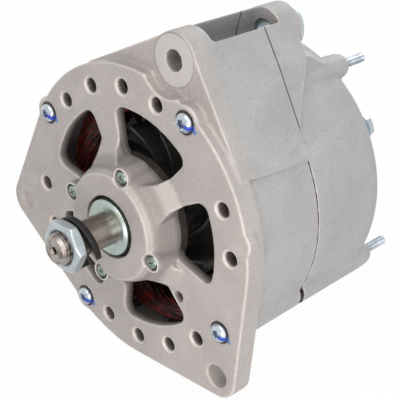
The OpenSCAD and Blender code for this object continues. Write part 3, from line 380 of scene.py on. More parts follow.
@dataclass(frozen=True)
class CastAluminium:
    """Blasted die casting, matte and slightly mottled, with painted warm light towards the front, paler
    edges that are part wear and part painted highlight, and painted shade in its creases and recesses.
    """

    name: str
    # front is lighter and warmer than side: painted warm light from the front.
    front: Colour = (0.435, 0.40, 0.378)
    side: Colour = (0.395, 0.39, 0.382)
    # pale and dark also give the painted highlight on edges and countersinks, and the painted shade in
    # creases and in the lug's bore.
    pale: Colour = (0.80, 0.74, 0.70)
    dark: Colour = (0.14, 0.12, 0.11)
    joint: Colour = (0.03, 0.027, 0.025)
    machined: Colour = (0.68, 0.645, 0.61)
    paint: WitnessPaint | None = None
    painted_shade_and_highlights: PaintedShadeAndRimHighlights | None = None

    def build(self) -> Material:
        """Makes the casting's material."""
        s = Shader(self.name)
        x, y, z = s.axes()
        # Lighter and warmer towards the front: painted warm front light.
        base = s.mix(y.step(24 * MM, 34 * MM), self.front, self.side)
        clouds = s.noise(38, 4, 0.6).step(0.35, 0.7)
        base = s.mix(clouds * 0.13, base, self.dark)
        smears = s.noise(1, 5, 0.65, s.stretched((70, 22, 70))).step(0.52, 0.72)
        base = s.mix(smears * 0.10, base, self.pale)
        speckle = s.noise(760, 3, 0.65)
        base = s.mix(speckle.fade(0.30, 0.50) * 0.16, base, self.dark)
        base = s.mix(speckle.step(0.55, 0.72) * 0.14, base, self.pale)
        specks = s.noise(620, 2, 0.5).step(0.70, 0.75)
        base = s.mix(specks * 0.5, base, self.dark)
        # Pointiness: paler on convex edges, part wear and part painted highlight; darker in concave creases,
        # which is painted shade.
        edge = Value(s, s.add("ShaderNodeNewGeometry").outputs["Pointiness"])
        base = s.mix(edge.step(0.512, 0.57) * 0.7, base, self.pale)
        base = s.mix(edge.fade(0.42, 0.49) * 0.6, base, self.dark)
        rise = z - LUG_HEIGHT * MM
        lug = (x * x + rise * rise).root()
        faced = lug.fade(12.5 * MM, 12.7 * MM) * y.fade(21.7 * MM, 22 * MM)
        rings = s.noise(1, 2, 0.5, s.add("ShaderNodeCombineXYZ", {0: lug * 2600}).outputs[0])
        base = s.mix(faced * (0.15 + rings * 0.45), base, self.machined)
        # Painted shade: a dark line round the lug's machined face and darkness inside its bore.
        line = lug.band(12.3 * MM, 12.6 * MM, 12.8 * MM, 13.2 * MM) * y.fade(23 * MM, 24 * MM)
        bore = lug.fade(5.3 * MM, 5.6 * MM) * y.step(22 * MM, 24 * MM)
        base = s.mix((line * 0.45).most(bore * 0.6), base, self.dark)
        seam = y.band(*((SEAM + offset) * MM for offset in (-0.5, -0.3, 0.3, 0.5)))
        base = s.mix(seam * 0.9, base, self.joint)
        if self.painted_shade_and_highlights:
            # Painted highlight on the countersinks, then painted shade in windows, bores, bolt seats and on
            # the hub's side.
            base = s.mix(self.painted_shade_and_highlights.rim_highlights(s) * 0.45, base, self.pale)
            base = s.mix(self.painted_shade_and_highlights.mask(s), base, self.painted_shade_and_highlights.colour)
        if self.paint:
            base = s.mix(self.paint.mask(s) * 0.85, base, self.paint.thin)
        grain = s.noise(1500, 2, 0.6)
        normal = s.bump(s.noise(240, 3, 0.5), 0.12 * MM, 0.55)
        normal = s.bump(grain, 0.06 * MM, 0.6, Normal=normal)
        rough = 0.5 + grain * 0.12 + clouds * 0.08 - faced * 0.18
        return s.finish(Base_Color=base, Roughness=rough, Metallic=0.35, Normal=normal)


@dataclass(frozen=True)
class PlatedSteel:
    """Zinc plated or polished steel with faint clouds in its colour."""

    name: str
    bright: Colour = (0.47, 0.54, 0.585)
    cloud: Colour = (0.34, 0.41, 0.43)
    roughness: float = 0.24
    paint: WitnessPaint | None = None

    def build(self) -> Material:
        """Makes the plating's material."""
        s = Shader(self.name)
        patches = s.noise(210, 4, 0.6).step(0.38, 0.66)
        base = s.mix(patches * 0.6, self.bright, self.cloud)
        streaks = s.noise(1, 3, 0.6, s.stretched((2600, 420, 2600)))
        rough = self.roughness + streaks * 0.14 + patches * 0.06
        metallic: object = 1.0
        if self.paint:
            mask = self.paint.mask(s)
            base = s.mix(mask, base, self.paint.colour)
            rough = rough + mask * 0.25
            metallic = 1 - mask
        normal = s.bump(s.noise(1800, 2, 0.5), 0.02 * MM, 0.35)
        return s.finish(Base_Color=base, Roughness=rough, Metallic=metallic, Normal=normal)


@dataclass(frozen=True)
class TurnedMetal:
    """Turned or ground metal with fine rings along its axis and dark bands round it, part staining and part
    painted reflection.
    """

    name: str
    colour: Colour = (0.50, 0.455, 0.425)
    # Colour of the dark bands: part staining, part painted reflection.
    stain_and_reflection: Colour = (0.27, 0.20, 0.17)
    stain_and_reflection_share: float = 0.5
    roughness: float = 0.2
    painted_centre_hole_shade: bool = False
    ring_depth: float = 0.004 * MM

    def build(self) -> Material:
        """Makes the turned metal's material."""
        s = Shader(self.name)
        rings = s.noise(1, 2, 0.5, s.stretched((0.0, 2600, 0.0)))
        # Dark bands round the axis: part staining, part painted reflection.
        around = s.noise(1, 2, 0.5, s.stretched((260, 24, 260)))
        base = s.mix(around.step(0.40, 0.62) * self.stain_and_reflection_share, self.colour, self.stain_and_reflection)
        # Painted shade inside the centre hole.
        if self.painted_centre_hole_shade:
            x, y, z = s.axes()
            deep = (x * x + z * z).root().fade(1.5 * MM, 2.2 * MM) * y.fade(-20 * MM, -19 * MM)
            base = s.mix(deep * 0.9, base, (0.03, 0.025, 0.022))
        normal = s.bump(rings, self.ring_depth, 0.8)
        rough = self.roughness + rings * 0.12 + around * 0.08
        return s.finish(Base_Color=base, Roughness=rough, Metallic=1.0, Normal=normal)


@dataclass(frozen=True)
class EnamelledWire:
    """Copper wire under enamel."""

    name: str
    colour: Colour
    burnt: Colour = (0.012, 0.004, 0.004)
    roughness: float = 0.14
    metallic: float = 0.45
    coat: float = 0.5

    def build(self) -> Material:
        """Makes the enamel's material."""
        s = Shader(self.name)
        burnt = s.noise(260, 3, 0.6).step(0.36, 0.56)
        base = s.mix(burnt * 0.93, self.colour, self.burnt)
        normal = s.bump(s.noise(900, 2, 0.5), 0.03 * MM, 0.5)
        rough = self.roughness + s.noise(500, 2) * 0.12
        metal, coat = self.metallic, self.coat
        return s.finish(Base_Color=base, Roughness=rough, Metallic=metal, Normal=normal, Coat_Weight=coat)


@dataclass(frozen=True)
class DarkSteel:
    """Black or dark steel, forged, painted or laminated."""

    name: str
    colour: Colour
    worn: Colour
    roughness: float = 0.42
    metallic: float = 0.6
    wear: float = 0.35
    layer: float = 0.0
    coat: float = 0.0

    def build(self) -> Material:
        """Makes the dark steel's material."""
        s = Shader(self.name)
        clouds = s.noise(130, 4, 0.6).step(0.4, 0.72)
        base = s.mix(clouds * self.wear, self.colour, self.worn)
        fine = s.noise(1400, 3, 0.6)
        normal = s.bump(fine, 0.05 * MM, 0.5)
        if self.layer:
            line = (s.axes()[1] / self.layer).fraction().band(0.0, 0.2, 0.8, 1.0)
            base = s.mix(line * 0.5, base, self.worn)
            normal = s.bump(line, 0.12 * MM, 0.9, Normal=normal)
        rough = self.roughness + fine * 0.14 - clouds * 0.05
        metal, coat = self.metallic, self.coat
        return s.finish(Base_Color=base, Roughness=rough, Metallic=metal, Normal=normal, Coat_Weight=coat)


@dataclass(frozen=True)
class Moulded:
    """Plastic, rubber, fibre or carbon with a fine surface grain."""

    name: str
    colour: Colour = (0.022, 0.022, 0.024)
    fleck: Colour = (0.06, 0.06, 0.062)
    roughness: float = 0.45
    grain: float = 1100
    depth: float = 0.04 * MM

    def build(self) -> Material:
        """Makes the moulding's material."""
        s = Shader(self.name)
        grain = s.noise(self.grain, 3, 0.6)
        clouds = s.noise(90, 3, 0.5)
        base = s.mix(clouds.step(0.4, 0.7) * 0.4, self.colour, self.fleck)
        rough = self.roughness + grain * 0.18
        normal = s.bump(grain, self.depth, 0.6)
        return s.finish(Base_Color=base, Roughness=rough, Metallic=0.0, Normal=normal)


PAINT = WitnessPaint()
FRONT_CAST = CastAluminium("blasted_front_casting", paint=PAINT, painted_shade_and_highlights=PaintedShadeAndRimHighlights())
REAR_CAST = CastAluminium("blasted_rear_casting", front=CastAluminium.side)
BLUE_ZINC = PlatedSteel("bluish_zinc", (0.49, 0.545, 0.565), (0.37, 0.42, 0.42))
BOLT_ZINC = PlatedSteel("bolt_zinc", (0.56, 0.61, 0.67), (0.30, 0.34, 0.38), 0.16, PAINT)
GREEN_ZINC = PlatedSteel("greenish_zinc", (0.31, 0.37, 0.34), (0.17, 0.22, 0.19))
COLLAR_ZINC = PlatedSteel("collar_zinc", (0.42, 0.50, 0.49), (0.33, 0.34, 0.26))
BEARING_STEEL = PlatedSteel("bearing_steel", (0.58, 0.58, 0.59), (0.46, 0.46, 0.47), 0.14)
SPRING_WIRE = PlatedSteel("spring_wire", (0.52, 0.52, 0.53), (0.36, 0.35, 0.35))
# On the ground shaft the dark bands are painted reflection, and its centre hole gets painted shade.
GROUND_STEEL = TurnedMetal("ground_steel", (0.40, 0.365, 0.34), (0.13, 0.10, 0.085), 0.75, 0.22, True)
PRESSED_STEEL = TurnedMetal("pressed_steel", (0.44, 0.43, 0.42), roughness=0.34)
TURNED_COPPER = TurnedMetal("turned_copper", (0.72, 0.37, 0.20), (0.35, 0.16, 0.09))
SHEET_ALUMINIUM = TurnedMetal("sheet_aluminium", (0.58, 0.59, 0.60), (0.42, 0.42, 0.42), roughness=0.38)
BLACK_STEEL = DarkSteel("black_steel", (0.022, 0.021, 0.021), (0.10, 0.096, 0.09), 0.34, wear=0.16)
FAN_PAINT = DarkSteel("fan_paint", (0.060, 0.060, 0.057), (0.17, 0.165, 0.155), 0.32, 0.65)
FORGED_STEEL = DarkSteel("forged_steel", (0.05, 0.046, 0.043), (0.17, 0.15, 0.135), 0.5)
RETAINER_STEEL = DarkSteel("retainer_steel", (0.10, 0.085, 0.075), (0.24, 0.21, 0.19), 0.4)
CORE_STEEL = DarkSteel("laminated_steel", (0.03, 0.026, 0.024), (0.12, 0.10, 0.09), layer=0.65 * MM)
VARNISH = DarkSteel("winding_varnish", (0.010, 0.004, 0.004), (0.028, 0.007, 0.006), 0.4, 0.0, coat=0.1)
RED_WIRE = EnamelledWire("red_enamel", (0.50, 0.06, 0.028), (0.09, 0.008, 0.006))
DARK_WIRE = EnamelledWire("dark_enamel", (0.07, 0.004, 0.003), (0.012, 0.002, 0.002), 0.3, 0.0, 0.12)
FIELD_WIRE = EnamelledWire("field_wire", (0.45, 0.13, 0.05))
BLACK_PLASTIC = Moulded("black_plastic")
GREY_PLASTIC = Moulded("blue_grey_plastic", (0.21, 0.29, 0.34), (0.15, 0.21, 0.25), 0.35)
SEAL_RUBBER = Moulded("seal_rubber", (0.018, 0.018, 0.019), roughness=0.6)
CARBON = Moulded("carbon", (0.035, 0.035, 0.037), roughness=0.38, grain=2200)
NYLON = Moulded("nylon", (0.58, 0.53, 0.42), (0.48, 0.42, 0.32), 0.4)
FIBRE = Moulded("fibre_sleeve", (0.22, 0.15, 0.09), (0.15, 0.10, 0.06), 0.6)
Finish = CastAluminium | PlatedSteel | TurnedMetal | EnamelledWire | DarkSteel | Moulded


@cache
def material(finish: Finish) -> Material:
    """A finish's material, made once."""
    return finish.build()


def angles(sides: int) -> np.ndarray:
    """Angles spread evenly round a circle, in radians."""
    return np.linspace(0, 2 * math.pi, sides, endpoint=False)


def circle(radius: float | np.ndarray, y: float, sides: int, at: Point = (0.0, 0.0)) -> np.ndarray:
    """One ring of points in metres round an axis along Y, with one radius or one for each point."""
    a = angles(sides)
    return np.stack([at[0] + radius * np.cos(a), np.full(sides, y), at[1] + radius * np.sin(a)], 1) * MM


def crest(y: float, pitch: float, sides: int, slope: float) -> np.ndarray:
    """How far a thread stands out of its root at each point of the ring at y, from 0 to 1."""
    phase = np.mod(y / pitch - angles(sides) / (2 * math.pi), 1.0)
    return np.clip(slope * (1 - np.abs(2 * phase - 1)) - 0.5, 0, 1)


def rounded(points: list[Point], radius: float, steps: int = 3) -> list[Point]:
    """Rounds the inner corners of an outline.

    Args:
        points: Corners in order.
        radius: Distance from the corner at which the rounding starts.
        steps: Segments of each rounding.

    Returns:
        The outline with its corners rounded, its two ends left as they are.
    """
    out = [points[0]]
    for before, corner, after in zip(points, points[1:], points[2:]):
        c = np.array(corner)
        legs = [np.array(p) - c for p in (before, after)]
        cuts = [leg / np.linalg.norm(leg) * min(radius, np.linalg.norm(leg) * 0.45) for leg in legs]
        for i in range(steps + 1):
            t = i / steps
            p = (1 - t) ** 2 * (c + cuts[0]) + 2 * t * (1 - t) * c + t * t * (c + cuts[1])
            out.append((float(p[0]), float(p[1])))
    out.append(points[-1])
    return out


@dataclass
class Shape:
    """A mesh under construction, in metres and in the part's frame."""

    vertices: list[tuple[float, float, float]] = field(default_factory=list)
    faces: list[tuple[int, ...]] = field(default_factory=list)

    def add(self, vertices: list, faces: list) -> "Shape":
        """Adds vertices and faces that count from the first of them."""
        first = len(self.vertices)
        self.vertices.extend(tuple(v) for v in vertices)
        self.faces.extend(tuple(i + first for i in face) for face in faces)
        return self

    def rings(self, rings: list[np.ndarray], loop: bool = False) -> "Shape":
        """Skins a row of rings that all have the same number of points.

        Args:
            rings: Arrays of points.
            loop: Whether the last ring joins the first; open ends are closed by a face each.

        Returns:
            This shape.
        """
        n = len(rings[0])
        vertices = [tuple(map(float, p)) for ring in rings for p in ring]
        pairs = len(rings) if loop else len(rings) - 1
        faces = []
        for i in range(pairs):
            a, b = i * n, (i + 1) % len(rings) * n
            faces += [(a + k, a + (k + 1) % n, b + (k + 1) % n, b + k) for k in range(n)]
        if not loop:
            last = (len(rings) - 1) * n
            faces += [tuple(range(n))[::-1], tuple(last + k for k in range(n))]
        return self.add(vertices, faces)

    def turned(self, profile: list[Point], segments: int = 96, at: Point = (0, 0)) -> "Shape":
        """Turns an outline of radius and Y round an axis; it is closed where it has no point at radius 0."""
        solid = profile[0][0] < 0.01 and profile[-1][0] < 0.01
        return self.rings([circle(max(r, 0.001), y, segments, at) for r, y in profile], loop=not solid)

    def swept(self, path: np.ndarray, radius: float, sides: int = 6) -> "Shape":
        """Sweeps a round wire along a path.

        Args:
            path: Points.
            radius: Wire radius.
            sides: Sides of the wire.

        Returns:
            This shape.
        """
        ahead = np.gradient(path, axis=0)
        ahead /= np.linalg.norm(ahead, axis=1, keepdims=True)
        side = np.cross(ahead[0], (0.3, 0.2, 0.93))
        rings = []
        a = angles(sides)
        for p, t in zip(path, ahead):
            side = side - t * (side @ t)
            side /= np.linalg.norm(side)
            up = np.cross(t, side)
            rings.append((p + radius * (np.outer(np.cos(a), side) + np.outer(np.sin(a), up))) * MM)
        return self.rings(rings)

    def threaded(self, r: float, pitch: float, y0: float, y1: float, segments: int = 28) -> "Shape":
        """Makes a threaded rod along Y, its ends chamfered.

        Args:
            r: Outer radius.
            pitch: Thread pitch.
            y0: Front end.
            y1: Rear end.
            segments: Points round the rod.

        Returns:
            This shape.
        """
        depth = 0.55 * pitch
        rings = []
        for y in np.arange(y0, y1 + 1e-6, pitch / 8):
            radius = r - depth * (1 - crest(y, pitch, segments, 2.6))
            for end in (y - y0, y1 - y):
                radius = np.minimum(radius, r - 1.1 * depth + end * 0.9)
            rings.append(circle(radius, y, segments))
        return self.rings(rings)

    def nut(self, flats: float, bore: float, y0: float, y1: float, corner: float) -> "Shape":
        """Makes a chamfered hexagon nut with softly rounded edges.

        Args:
            flats: Width across flats.
            bore: Radius of the bore.
            y0: Front face.
            y1: Rear face.
            corner: Angle of one corner in degrees.

        Returns:
            This shape.
        """
        sides, blend, height = 180, 0.25, flats * 0.075
        local = np.mod(angles(sides) - math.radians(corner), math.pi / 3) - math.pi / 6
        hexagon = flats / 2 / np.cos(local)
        outline = [(bore, y0 + 1.3), (bore + 1.4, y0), (flats * 0.45, y0)]
        outline += [(flats * 0.47 + i * flats * 0.02, y0 + 0.05 + height * i / 7) for i in range(8)]
        outline += [(flats * 0.61 - i * flats * 0.02, y1 - 0.05 - height * (7 - i) / 7) for i in range(8)]
        outline += [(flats * 0.45, y1), (bore, y1)]
        rings = []
        for limit, y in outline:
            radius = -blend * np.log(np.exp(-hexagon / blend) + np.exp(-limit / blend))
            rings.append(circle(radius, y, sides))
        return self.rings(rings, loop=True)

    def piece(self, name: str, finish: Finish, crisp: float = 32) -> Object:
        """Turns the shape into an object.

        Args:
            name: The object's name.
            finish: Its finish.
            crisp: Edges sharper than this many degrees stay sharp.

        Returns:
            The object.
        """
        mesh = bpy.data.meshes.new(name)
        mesh.from_pydata(self.vertices, [], self.faces)
        return shown(welded(mesh, 2e-7, outward=True), name, finish, crisp)


def welded(mesh: Mesh, reach: float, outward: bool = False, flat: bool = False) -> Mesh:
    """Joins a mesh's double vertices.

    Args:
        mesh: The mesh, which is changed.
        reach: Largest distance between doubles, in metres.
        outward: Whether the faces are all turned outward.
        flat: Whether flat areas become one face each.

    Returns:
        The same mesh.
    """
    work = bmesh.new()
    work.from_mesh(mesh)
    bmesh.ops.remove_doubles(work, verts=work.verts, dist=reach)
    if outward:
        bmesh.ops.recalc_face_normals(work, faces=work.faces)
    if flat:
        bmesh.ops.dissolve_limit(work, angle_limit=math.radians(1.5), verts=work.verts, edges=work.edges)
    work.to_mesh(mesh)
    work.free()
    return mesh


def painted(mesh: Mesh, finish: Finish) -> None:
    """Gives a mesh one finish."""
    mesh.materials.clear()
    mesh.materials.append(material(finish))


def smoothed(mesh: Mesh, finish: Finish, crisp: float) -> None:
    """Gives a mesh one finish and smooth shading, with sharp edges above crisp degrees."""
    painted(mesh, finish)
    mesh.shade_smooth()
    mesh.set_sharp_from_angle(angle=math.radians(crisp))


def placed(name: str, data: ID) -> Object:
    """Puts a new object with its data into the scene."""
    piece = bpy.data.objects.new(name, data)
    bpy.context.scene.collection.objects.link(piece)
    return piece


def shown(mesh: Mesh, name: str, finish: Finish, crisp: float = 32) -> Object:
    """Puts a mesh into the scene as a smooth object."""
    smoothed(mesh, finish, crisp)
    return placed(name, mesh)


def modify(piece: Object, kind: str, **settings: object) -> Modifier:
    """Adds a modifier.

    Args:
        piece: What is changed.
        kind: The modifier's type.
        settings: Its properties.

    Returns:
        The modifier.
    """
    change = piece.modifiers.new(kind.lower(), kind)
    for name, value in settings.items():
        setattr(change, name, value)
    return change


def settle(piece: Object) -> None:
    """Replaces a piece's mesh with what its modifiers make of it."""
    graph = bpy.context.evaluated_depsgraph_get()
    piece.data = bpy.data.meshes.new_from_object(piece.evaluated_get(graph), depsgraph=graph)
    piece.modifiers.clear()


def cut(piece: Object, cutter: Object) -> None:
    """Cuts one closed mesh out of another and removes the cutter."""
    modify(piece, "BOOLEAN", operation="DIFFERENCE", solver="MANIFOLD", object=cutter)
    settle(piece)
    bpy.data.objects.remove(cutter)


def hand_over(piece: Object, body: Body, slot: str, *nodes: str) -> None:
    """Makes a finished piece ride on its body and stand for its nodes.

    Args:
        piece: The finished piece, at the origin.
        body: The body that carries it.
        slot: The record's material slot; not used.
        nodes: Nodes of the model that it stands for.
    """
    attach(piece, body.value)
    if nodes:
        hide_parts(*nodes)
    LOG.info("%s rides on %s, %d faces", piece.name, body.value, len(piece.data.polygons))


class RingOfPieces:
    """Geometry Nodes that set copies of one piece on a circle round the shaft."""

    tree: NodeTree | None = None
    sockets: dict[str, str] = {}
    kinds: dict[str, str] = {
        "Item": "Object",
        "Count": "Int",
        "Radius": "Float",
        "Start": "Float",
        "Scatter": "Float",
        "Spin": "Float",
        "Seed": "Int",
        "Material": "Material",
    }

    @classmethod
    def _build(cls) -> None:
        """Builds the tree once."""
        cls.tree = bpy.data.node_groups.new("ring_of_pieces", "GeometryNodeTree")
        n = Nodes(cls.tree)
        inputs = cls.tree.interface
        inputs.new_socket(name="Geometry", in_out="OUTPUT", socket_type="NodeSocketGeometry")
        for name, kind in cls.kinds.items():
            made = inputs.new_socket(name=name, in_out="INPUT", socket_type=f"NodeSocket{kind}")
            cls.sockets[name] = made.identifier
        given = {output.name: Value(n, output) for output in n.add("NodeGroupInput").outputs if output.name}
        index = n.first("GeometryNodeInputIndex")
        chance = []
        for k in (0.0, 1.0):
            range_of = {2: -1.0, 3: 1.0, "ID": index, "Seed": given["Seed"] + k}
            drawn = n.add("FunctionNodeRandomValue", range_of, data_type="FLOAT")
            chance.append(Value(n, drawn.outputs[1]))
        angle = index * (2 * math.pi) / given["Count"] + given["Start"] + chance[0] * given["Scatter"]
        x, z = angle.cosine() * given["Radius"], angle.sine() * given["Radius"]
        place = n.first("ShaderNodeCombineXYZ", {0: x, 2: z})
        points = n.first("GeometryNodeMeshLine", {"Count": given["Count"], "Offset": (0, 0, 0)})
        moved = n.first("GeometryNodeSetPosition", {"Geometry": points, "Position": place})
        turn = n.first("ShaderNodeCombineXYZ", {1: chance[1] * given["Spin"] - angle})
        item = n.add("GeometryNodeObjectInfo", {"Object": given["Item"]}).outputs["Geometry"]
        copied = {"Points": moved, "Instance": item, "Rotation": turn}
        copies = n.first("GeometryNodeInstanceOnPoints", copied)
        real = n.first("GeometryNodeRealizeInstances", {0: copies})
        dressed = {"Geometry": real, "Material": given["Material"]}
        n.add("NodeGroupOutput", {0: n.first("GeometryNodeSetMaterial", dressed)})

    @classmethod
    def mesh(cls, item: Object, finish: Finish, **sizes: float) -> Mesh:
        """Sets copies of an item on the circle and removes the item.

        Args:
            item: The piece to repeat, modelled round the shaft's own axis.
            finish: The finish of all copies.
            sizes: Count, Radius, Start, Scatter, Spin and Seed, in metres and radians.

        Returns:
            One plain mesh with every copy.
        """
        if cls.tree is None:
            cls._build()
        carrier = placed("ring_carrier", bpy.data.meshes.new("ring_carrier"))
        change = modify(carrier, "NODES", node_group=cls.tree)
        for name, value in {"Item": item, "Material": material(finish), **sizes}.items():
            change[cls.sockets[name]] = value
        settle(carrier)
        made = carrier.data
        bpy.data.objects.remove(carrier)
        bpy.data.objects.remove(item)
        return made


@dataclass
class Hole:
    """A machined cylinder that is cut along Y."""

    radius: float
    y0: float
    y1: float
    x: float = 0.0
    z: float = 0.0
    flare: float = 0.0

    def outline(self) -> list[Point]:
        """Profile of the cut, wider at its mouth where it is countersunk."""
        r, front, back = self.radius, self.y0, self.y1
        return [(0, front), (r + self.flare, front), (r, front + self.flare), (r, back), (0, back)]

    def ring_of(self, reach: float, degrees: tuple[float, ...]) -> list["Hole"]:
        """Copies of this hole on a circle round the shaft."""
        return [replace(self, x=x, z=z) for x, z in (polar(reach, a) for a in degrees)]


@dataclass
class Casting:
    """A housing as it leaves the mould: soft edges all over, then machined where it has to fit."""

    node: str
    name: str
    slot: str
    finish: CastAluminium
    holes: list[Hole] = field(default_factory=list)
    body_r: float = 77.0
    groove: float = 0.5
    groove_depth: float = 1.2
    voxel: float = 0.72
    rounds: int = 3
    most_faces: int = 176_000

    def weights(self, places: np.ndarray) -> np.ndarray:
        """How much each point is softened, from 0 to 1."""
        return np.ones(len(places))

    def build(self, frame: dict) -> None:
        """Softens the model's solid and cuts its machined features.
        """
        mesh = welded(frame["nodes"][self.node].data.copy(), 1e-6)
        piece = shown(mesh, self.name, self.finish)
        size = self.voxel * MM * 1.0
        modify(piece, "REMESH", mode="VOXEL", voxel_size=size)
        settle(piece)
        self.soften(piece)
        cutter = Shape()
        for hole in self.holes:
            cutter.turned(hole.outline(), 64, (hole.x, hole.z))
        floor = self.body_r - self.groove_depth
        front, back = SEAM - self.groove / 2, SEAM + self.groove / 2
        cutter.turned([(floor, front), (floor + 3, front), (floor + 3, back), (floor, back)], 192)
        cut(piece, cutter.piece("cutter", self.finish))
        smoothed(piece.data, self.finish, 38)
        hand_over(piece, Body.HOUSING, self.slot, self.node)

    def soften(self, piece: Object) -> None:
        """Rounds every edge, less where the weights keep it crisp, and thins the mesh.

        Args:
            piece: The voxel mesh.
        """
        places = np.empty(len(piece.data.vertices) * 3)
        piece.data.vertices.foreach_get("co", places)
        share = np.round(self.weights(places.reshape(-1, 3) / MM), 1)
        group = piece.vertex_groups.new(name="soft")
        for level in np.unique(share):
            group.add(np.nonzero(share == level)[0].tolist(), float(level), "REPLACE")
        modify(piece, "SMOOTH", factor=0.5, iterations=self.rounds, vertex_group="soft")
        triangles = sum(len(p.vertices) - 2 for p in piece.data.polygons)
        if triangles > self.most_faces:
            modify(piece, "DECIMATE", ratio=self.most_faces / triangles)
        settle(piece)
        piece.vertex_groups.clear()


@dataclass
class DriveEndHousing(Casting):
    """Front casting with its flange, windows, hub, lug and ears."""

    node: str = "drive_end_housing"
    name: str = "drive_end_casting"
    slot: str = "cast_front"
    finish: CastAluminium = FRONT_CAST
    bearing_r: float = 23.53
    ear_reach: float = 90.0
    ear_angle: float = 330.0

    def __post_init__(self) -> None:
        """Lists the bores: bearing and shaft, lug, ear, screws, ring of holes and bolts."""
        self.holes = [
            Hole(self.bearing_r, 6, 20.6),
            Hole(16.5, 0.5, 7),
            Hole(BUSH_BORE_R, 20, 37, 0, LUG_HEIGHT),
            Hole(7.06, 80.5, 98, 0, LUG_HEIGHT),
            *Hole(6.25, 14, 30).ring_of(self.ear_reach, (self.ear_angle,)),
            *Hole(4.3, 0, 5).ring_of(SCREW_REACH, SCREW_ANGLES),
            *Hole(2.1, 4, 21).ring_of(SCREW_REACH, SCREW_ANGLES),
            *Hole(RING_HOLE_R, 15.1, 30, flare=1.8).ring_of(RING_REACH, RING_ANGLES),
            *Hole(6.0, 14, BOLT_SEAT_Y).ring_of(BOLT_REACH, BOLT_ANGLES),
            *Hole(2.58, 16, 72).ring_of(BOLT_REACH, BOLT_ANGLES),
        ]

    def weights(self, places: np.ndarray) -> np.ndarray:
        """Keeps the lug's machined face, its bores and the joint crisp."""
        x, y, z = places.T
        lug = np.hypot(x, z - LUG_HEIGHT)
        share = np.ones(len(places))
        share[(lug < 19) & (y < 26)] = 0.4
        share[(lug < 12.9) & (y < 23)] = 0.2
        share[(lug < 7.6) & (y > 82.5)] = 0.1
        share[y > 69.5] = np.minimum(share[y > 69.5], 0.4)
        return share


@dataclass
class RearHousing(Casting):
    """Rear casting with its ribs, gusset, vents and rounded rim."""

    node: str = "rear_housing"
    name: str = "rear_casting"
    slot: str = "cast_rear"
    finish: CastAluminium = REAR_CAST
    bearing_r: float = 17.53
    signal_reach: float = 54.0
    signal_angles: tuple[float, ...] = (122, 134)

    def __post_init__(self) -> None:
        """Lists the bores: bearing and shaft, terminals and bolts."""
        self.holes = [
            Hole(self.bearing_r, 112, 126),
            Hole(15.5, 125, 131),
            *Hole(6.53, 112, 131).ring_of(CHARGE_REACH, (CHARGE_ANGLE,)),
            *Hole(4.23, 112, 131).ring_of(self.signal_reach, self.signal_angles),
            *Hole(2.58, 70, 133).ring_of(BOLT_REACH, BOLT_ANGLES),
        ]

    def weights(self, places: np.ndarray) -> np.ndarray:
        """Keeps the joint crisp."""
        return np.where(places[:, 1] < 72.5, 0.4, 1.0)


@dataclass
class Screws:
    """Screws or bolts of one kind, set on a circle round the shaft."""

    node: str
    name: str
    slot: str
    finish: Finish
    recess: Recess
    reach: float
    start: float
    head_r: float
    head_top: float
    seat: float
    shank_r: float
    tip: float
    thread: float = 0.0
    thread_r: float = 2.5
    pitch: float = 0.8
    count: int = 4

    def one(self) -> Object:
        """Models one screw on the shaft's axis, its recess cut into the head."""
        r, top, seat = self.head_r, self.head_top, self.seat
        high, plain = seat - top, self.tip - self.thread
        head = [(0, top), (r * 0.66, top), (r * 0.93, top + 0.28 * high), (r, top + 0.6 * high), (r, seat)]
        shank = [(self.shank_r, seat), (self.shank_r, plain), (0, plain)]
        screw = Shape().turned([*rounded(head, 0.5), *shank], 48).piece("one_screw", self.finish)
        cut(screw, self.driver())
        if self.thread:
            rod = Shape().threaded(self.thread_r, self.pitch, plain - 0.4, self.tip)
            self.join(screw, rod.piece("end", self.finish))
        return screw

    def join(self, screw: Object, end: Object) -> None:
        """Adds the threaded end to the screw's mesh.

        Args:
            screw: The screw.
            end: The threaded end, which is removed.
        """
        work = bmesh.new()
        work.from_mesh(screw.data)
        work.from_mesh(end.data)
        work.to_mesh(screw.data)
        work.free()
        bpy.data.objects.remove(end)

    def driver(self) -> Object:
        """Models the recess as a tapered cross or star."""
        sides = 96
        wave = 0.5 + 0.5 * np.cos(self.recess.value * angles(sides))
        outline = 0.14 + 0.42 * wave**5 if self.recess is Recess.CROSS else 0.34 + 0.13 * wave
        levels = ((-0.5, 1.12), (0.0, 1.05), (0.62 * (self.seat - self.head_top), 0.8))
        rings = [circle(self.head_r * outline * scale, self.head_top + y, sides) for y, scale in levels]
        return Shape().rings(rings).piece("driver", self.finish)

    def build(self) -> None:
        """Sets all screws on their circle, each turned by chance."""
        sizes = {"Count": self.count, "Radius": self.reach * MM, "Start": math.radians(self.start)}
        mesh = RingOfPieces.mesh(self.one(), self.finish, **sizes, Spin=2.2, Seed=5)
        hand_over(shown(mesh, self.name, self.finish, 35), Body.HOUSING, self.slot, self.node)


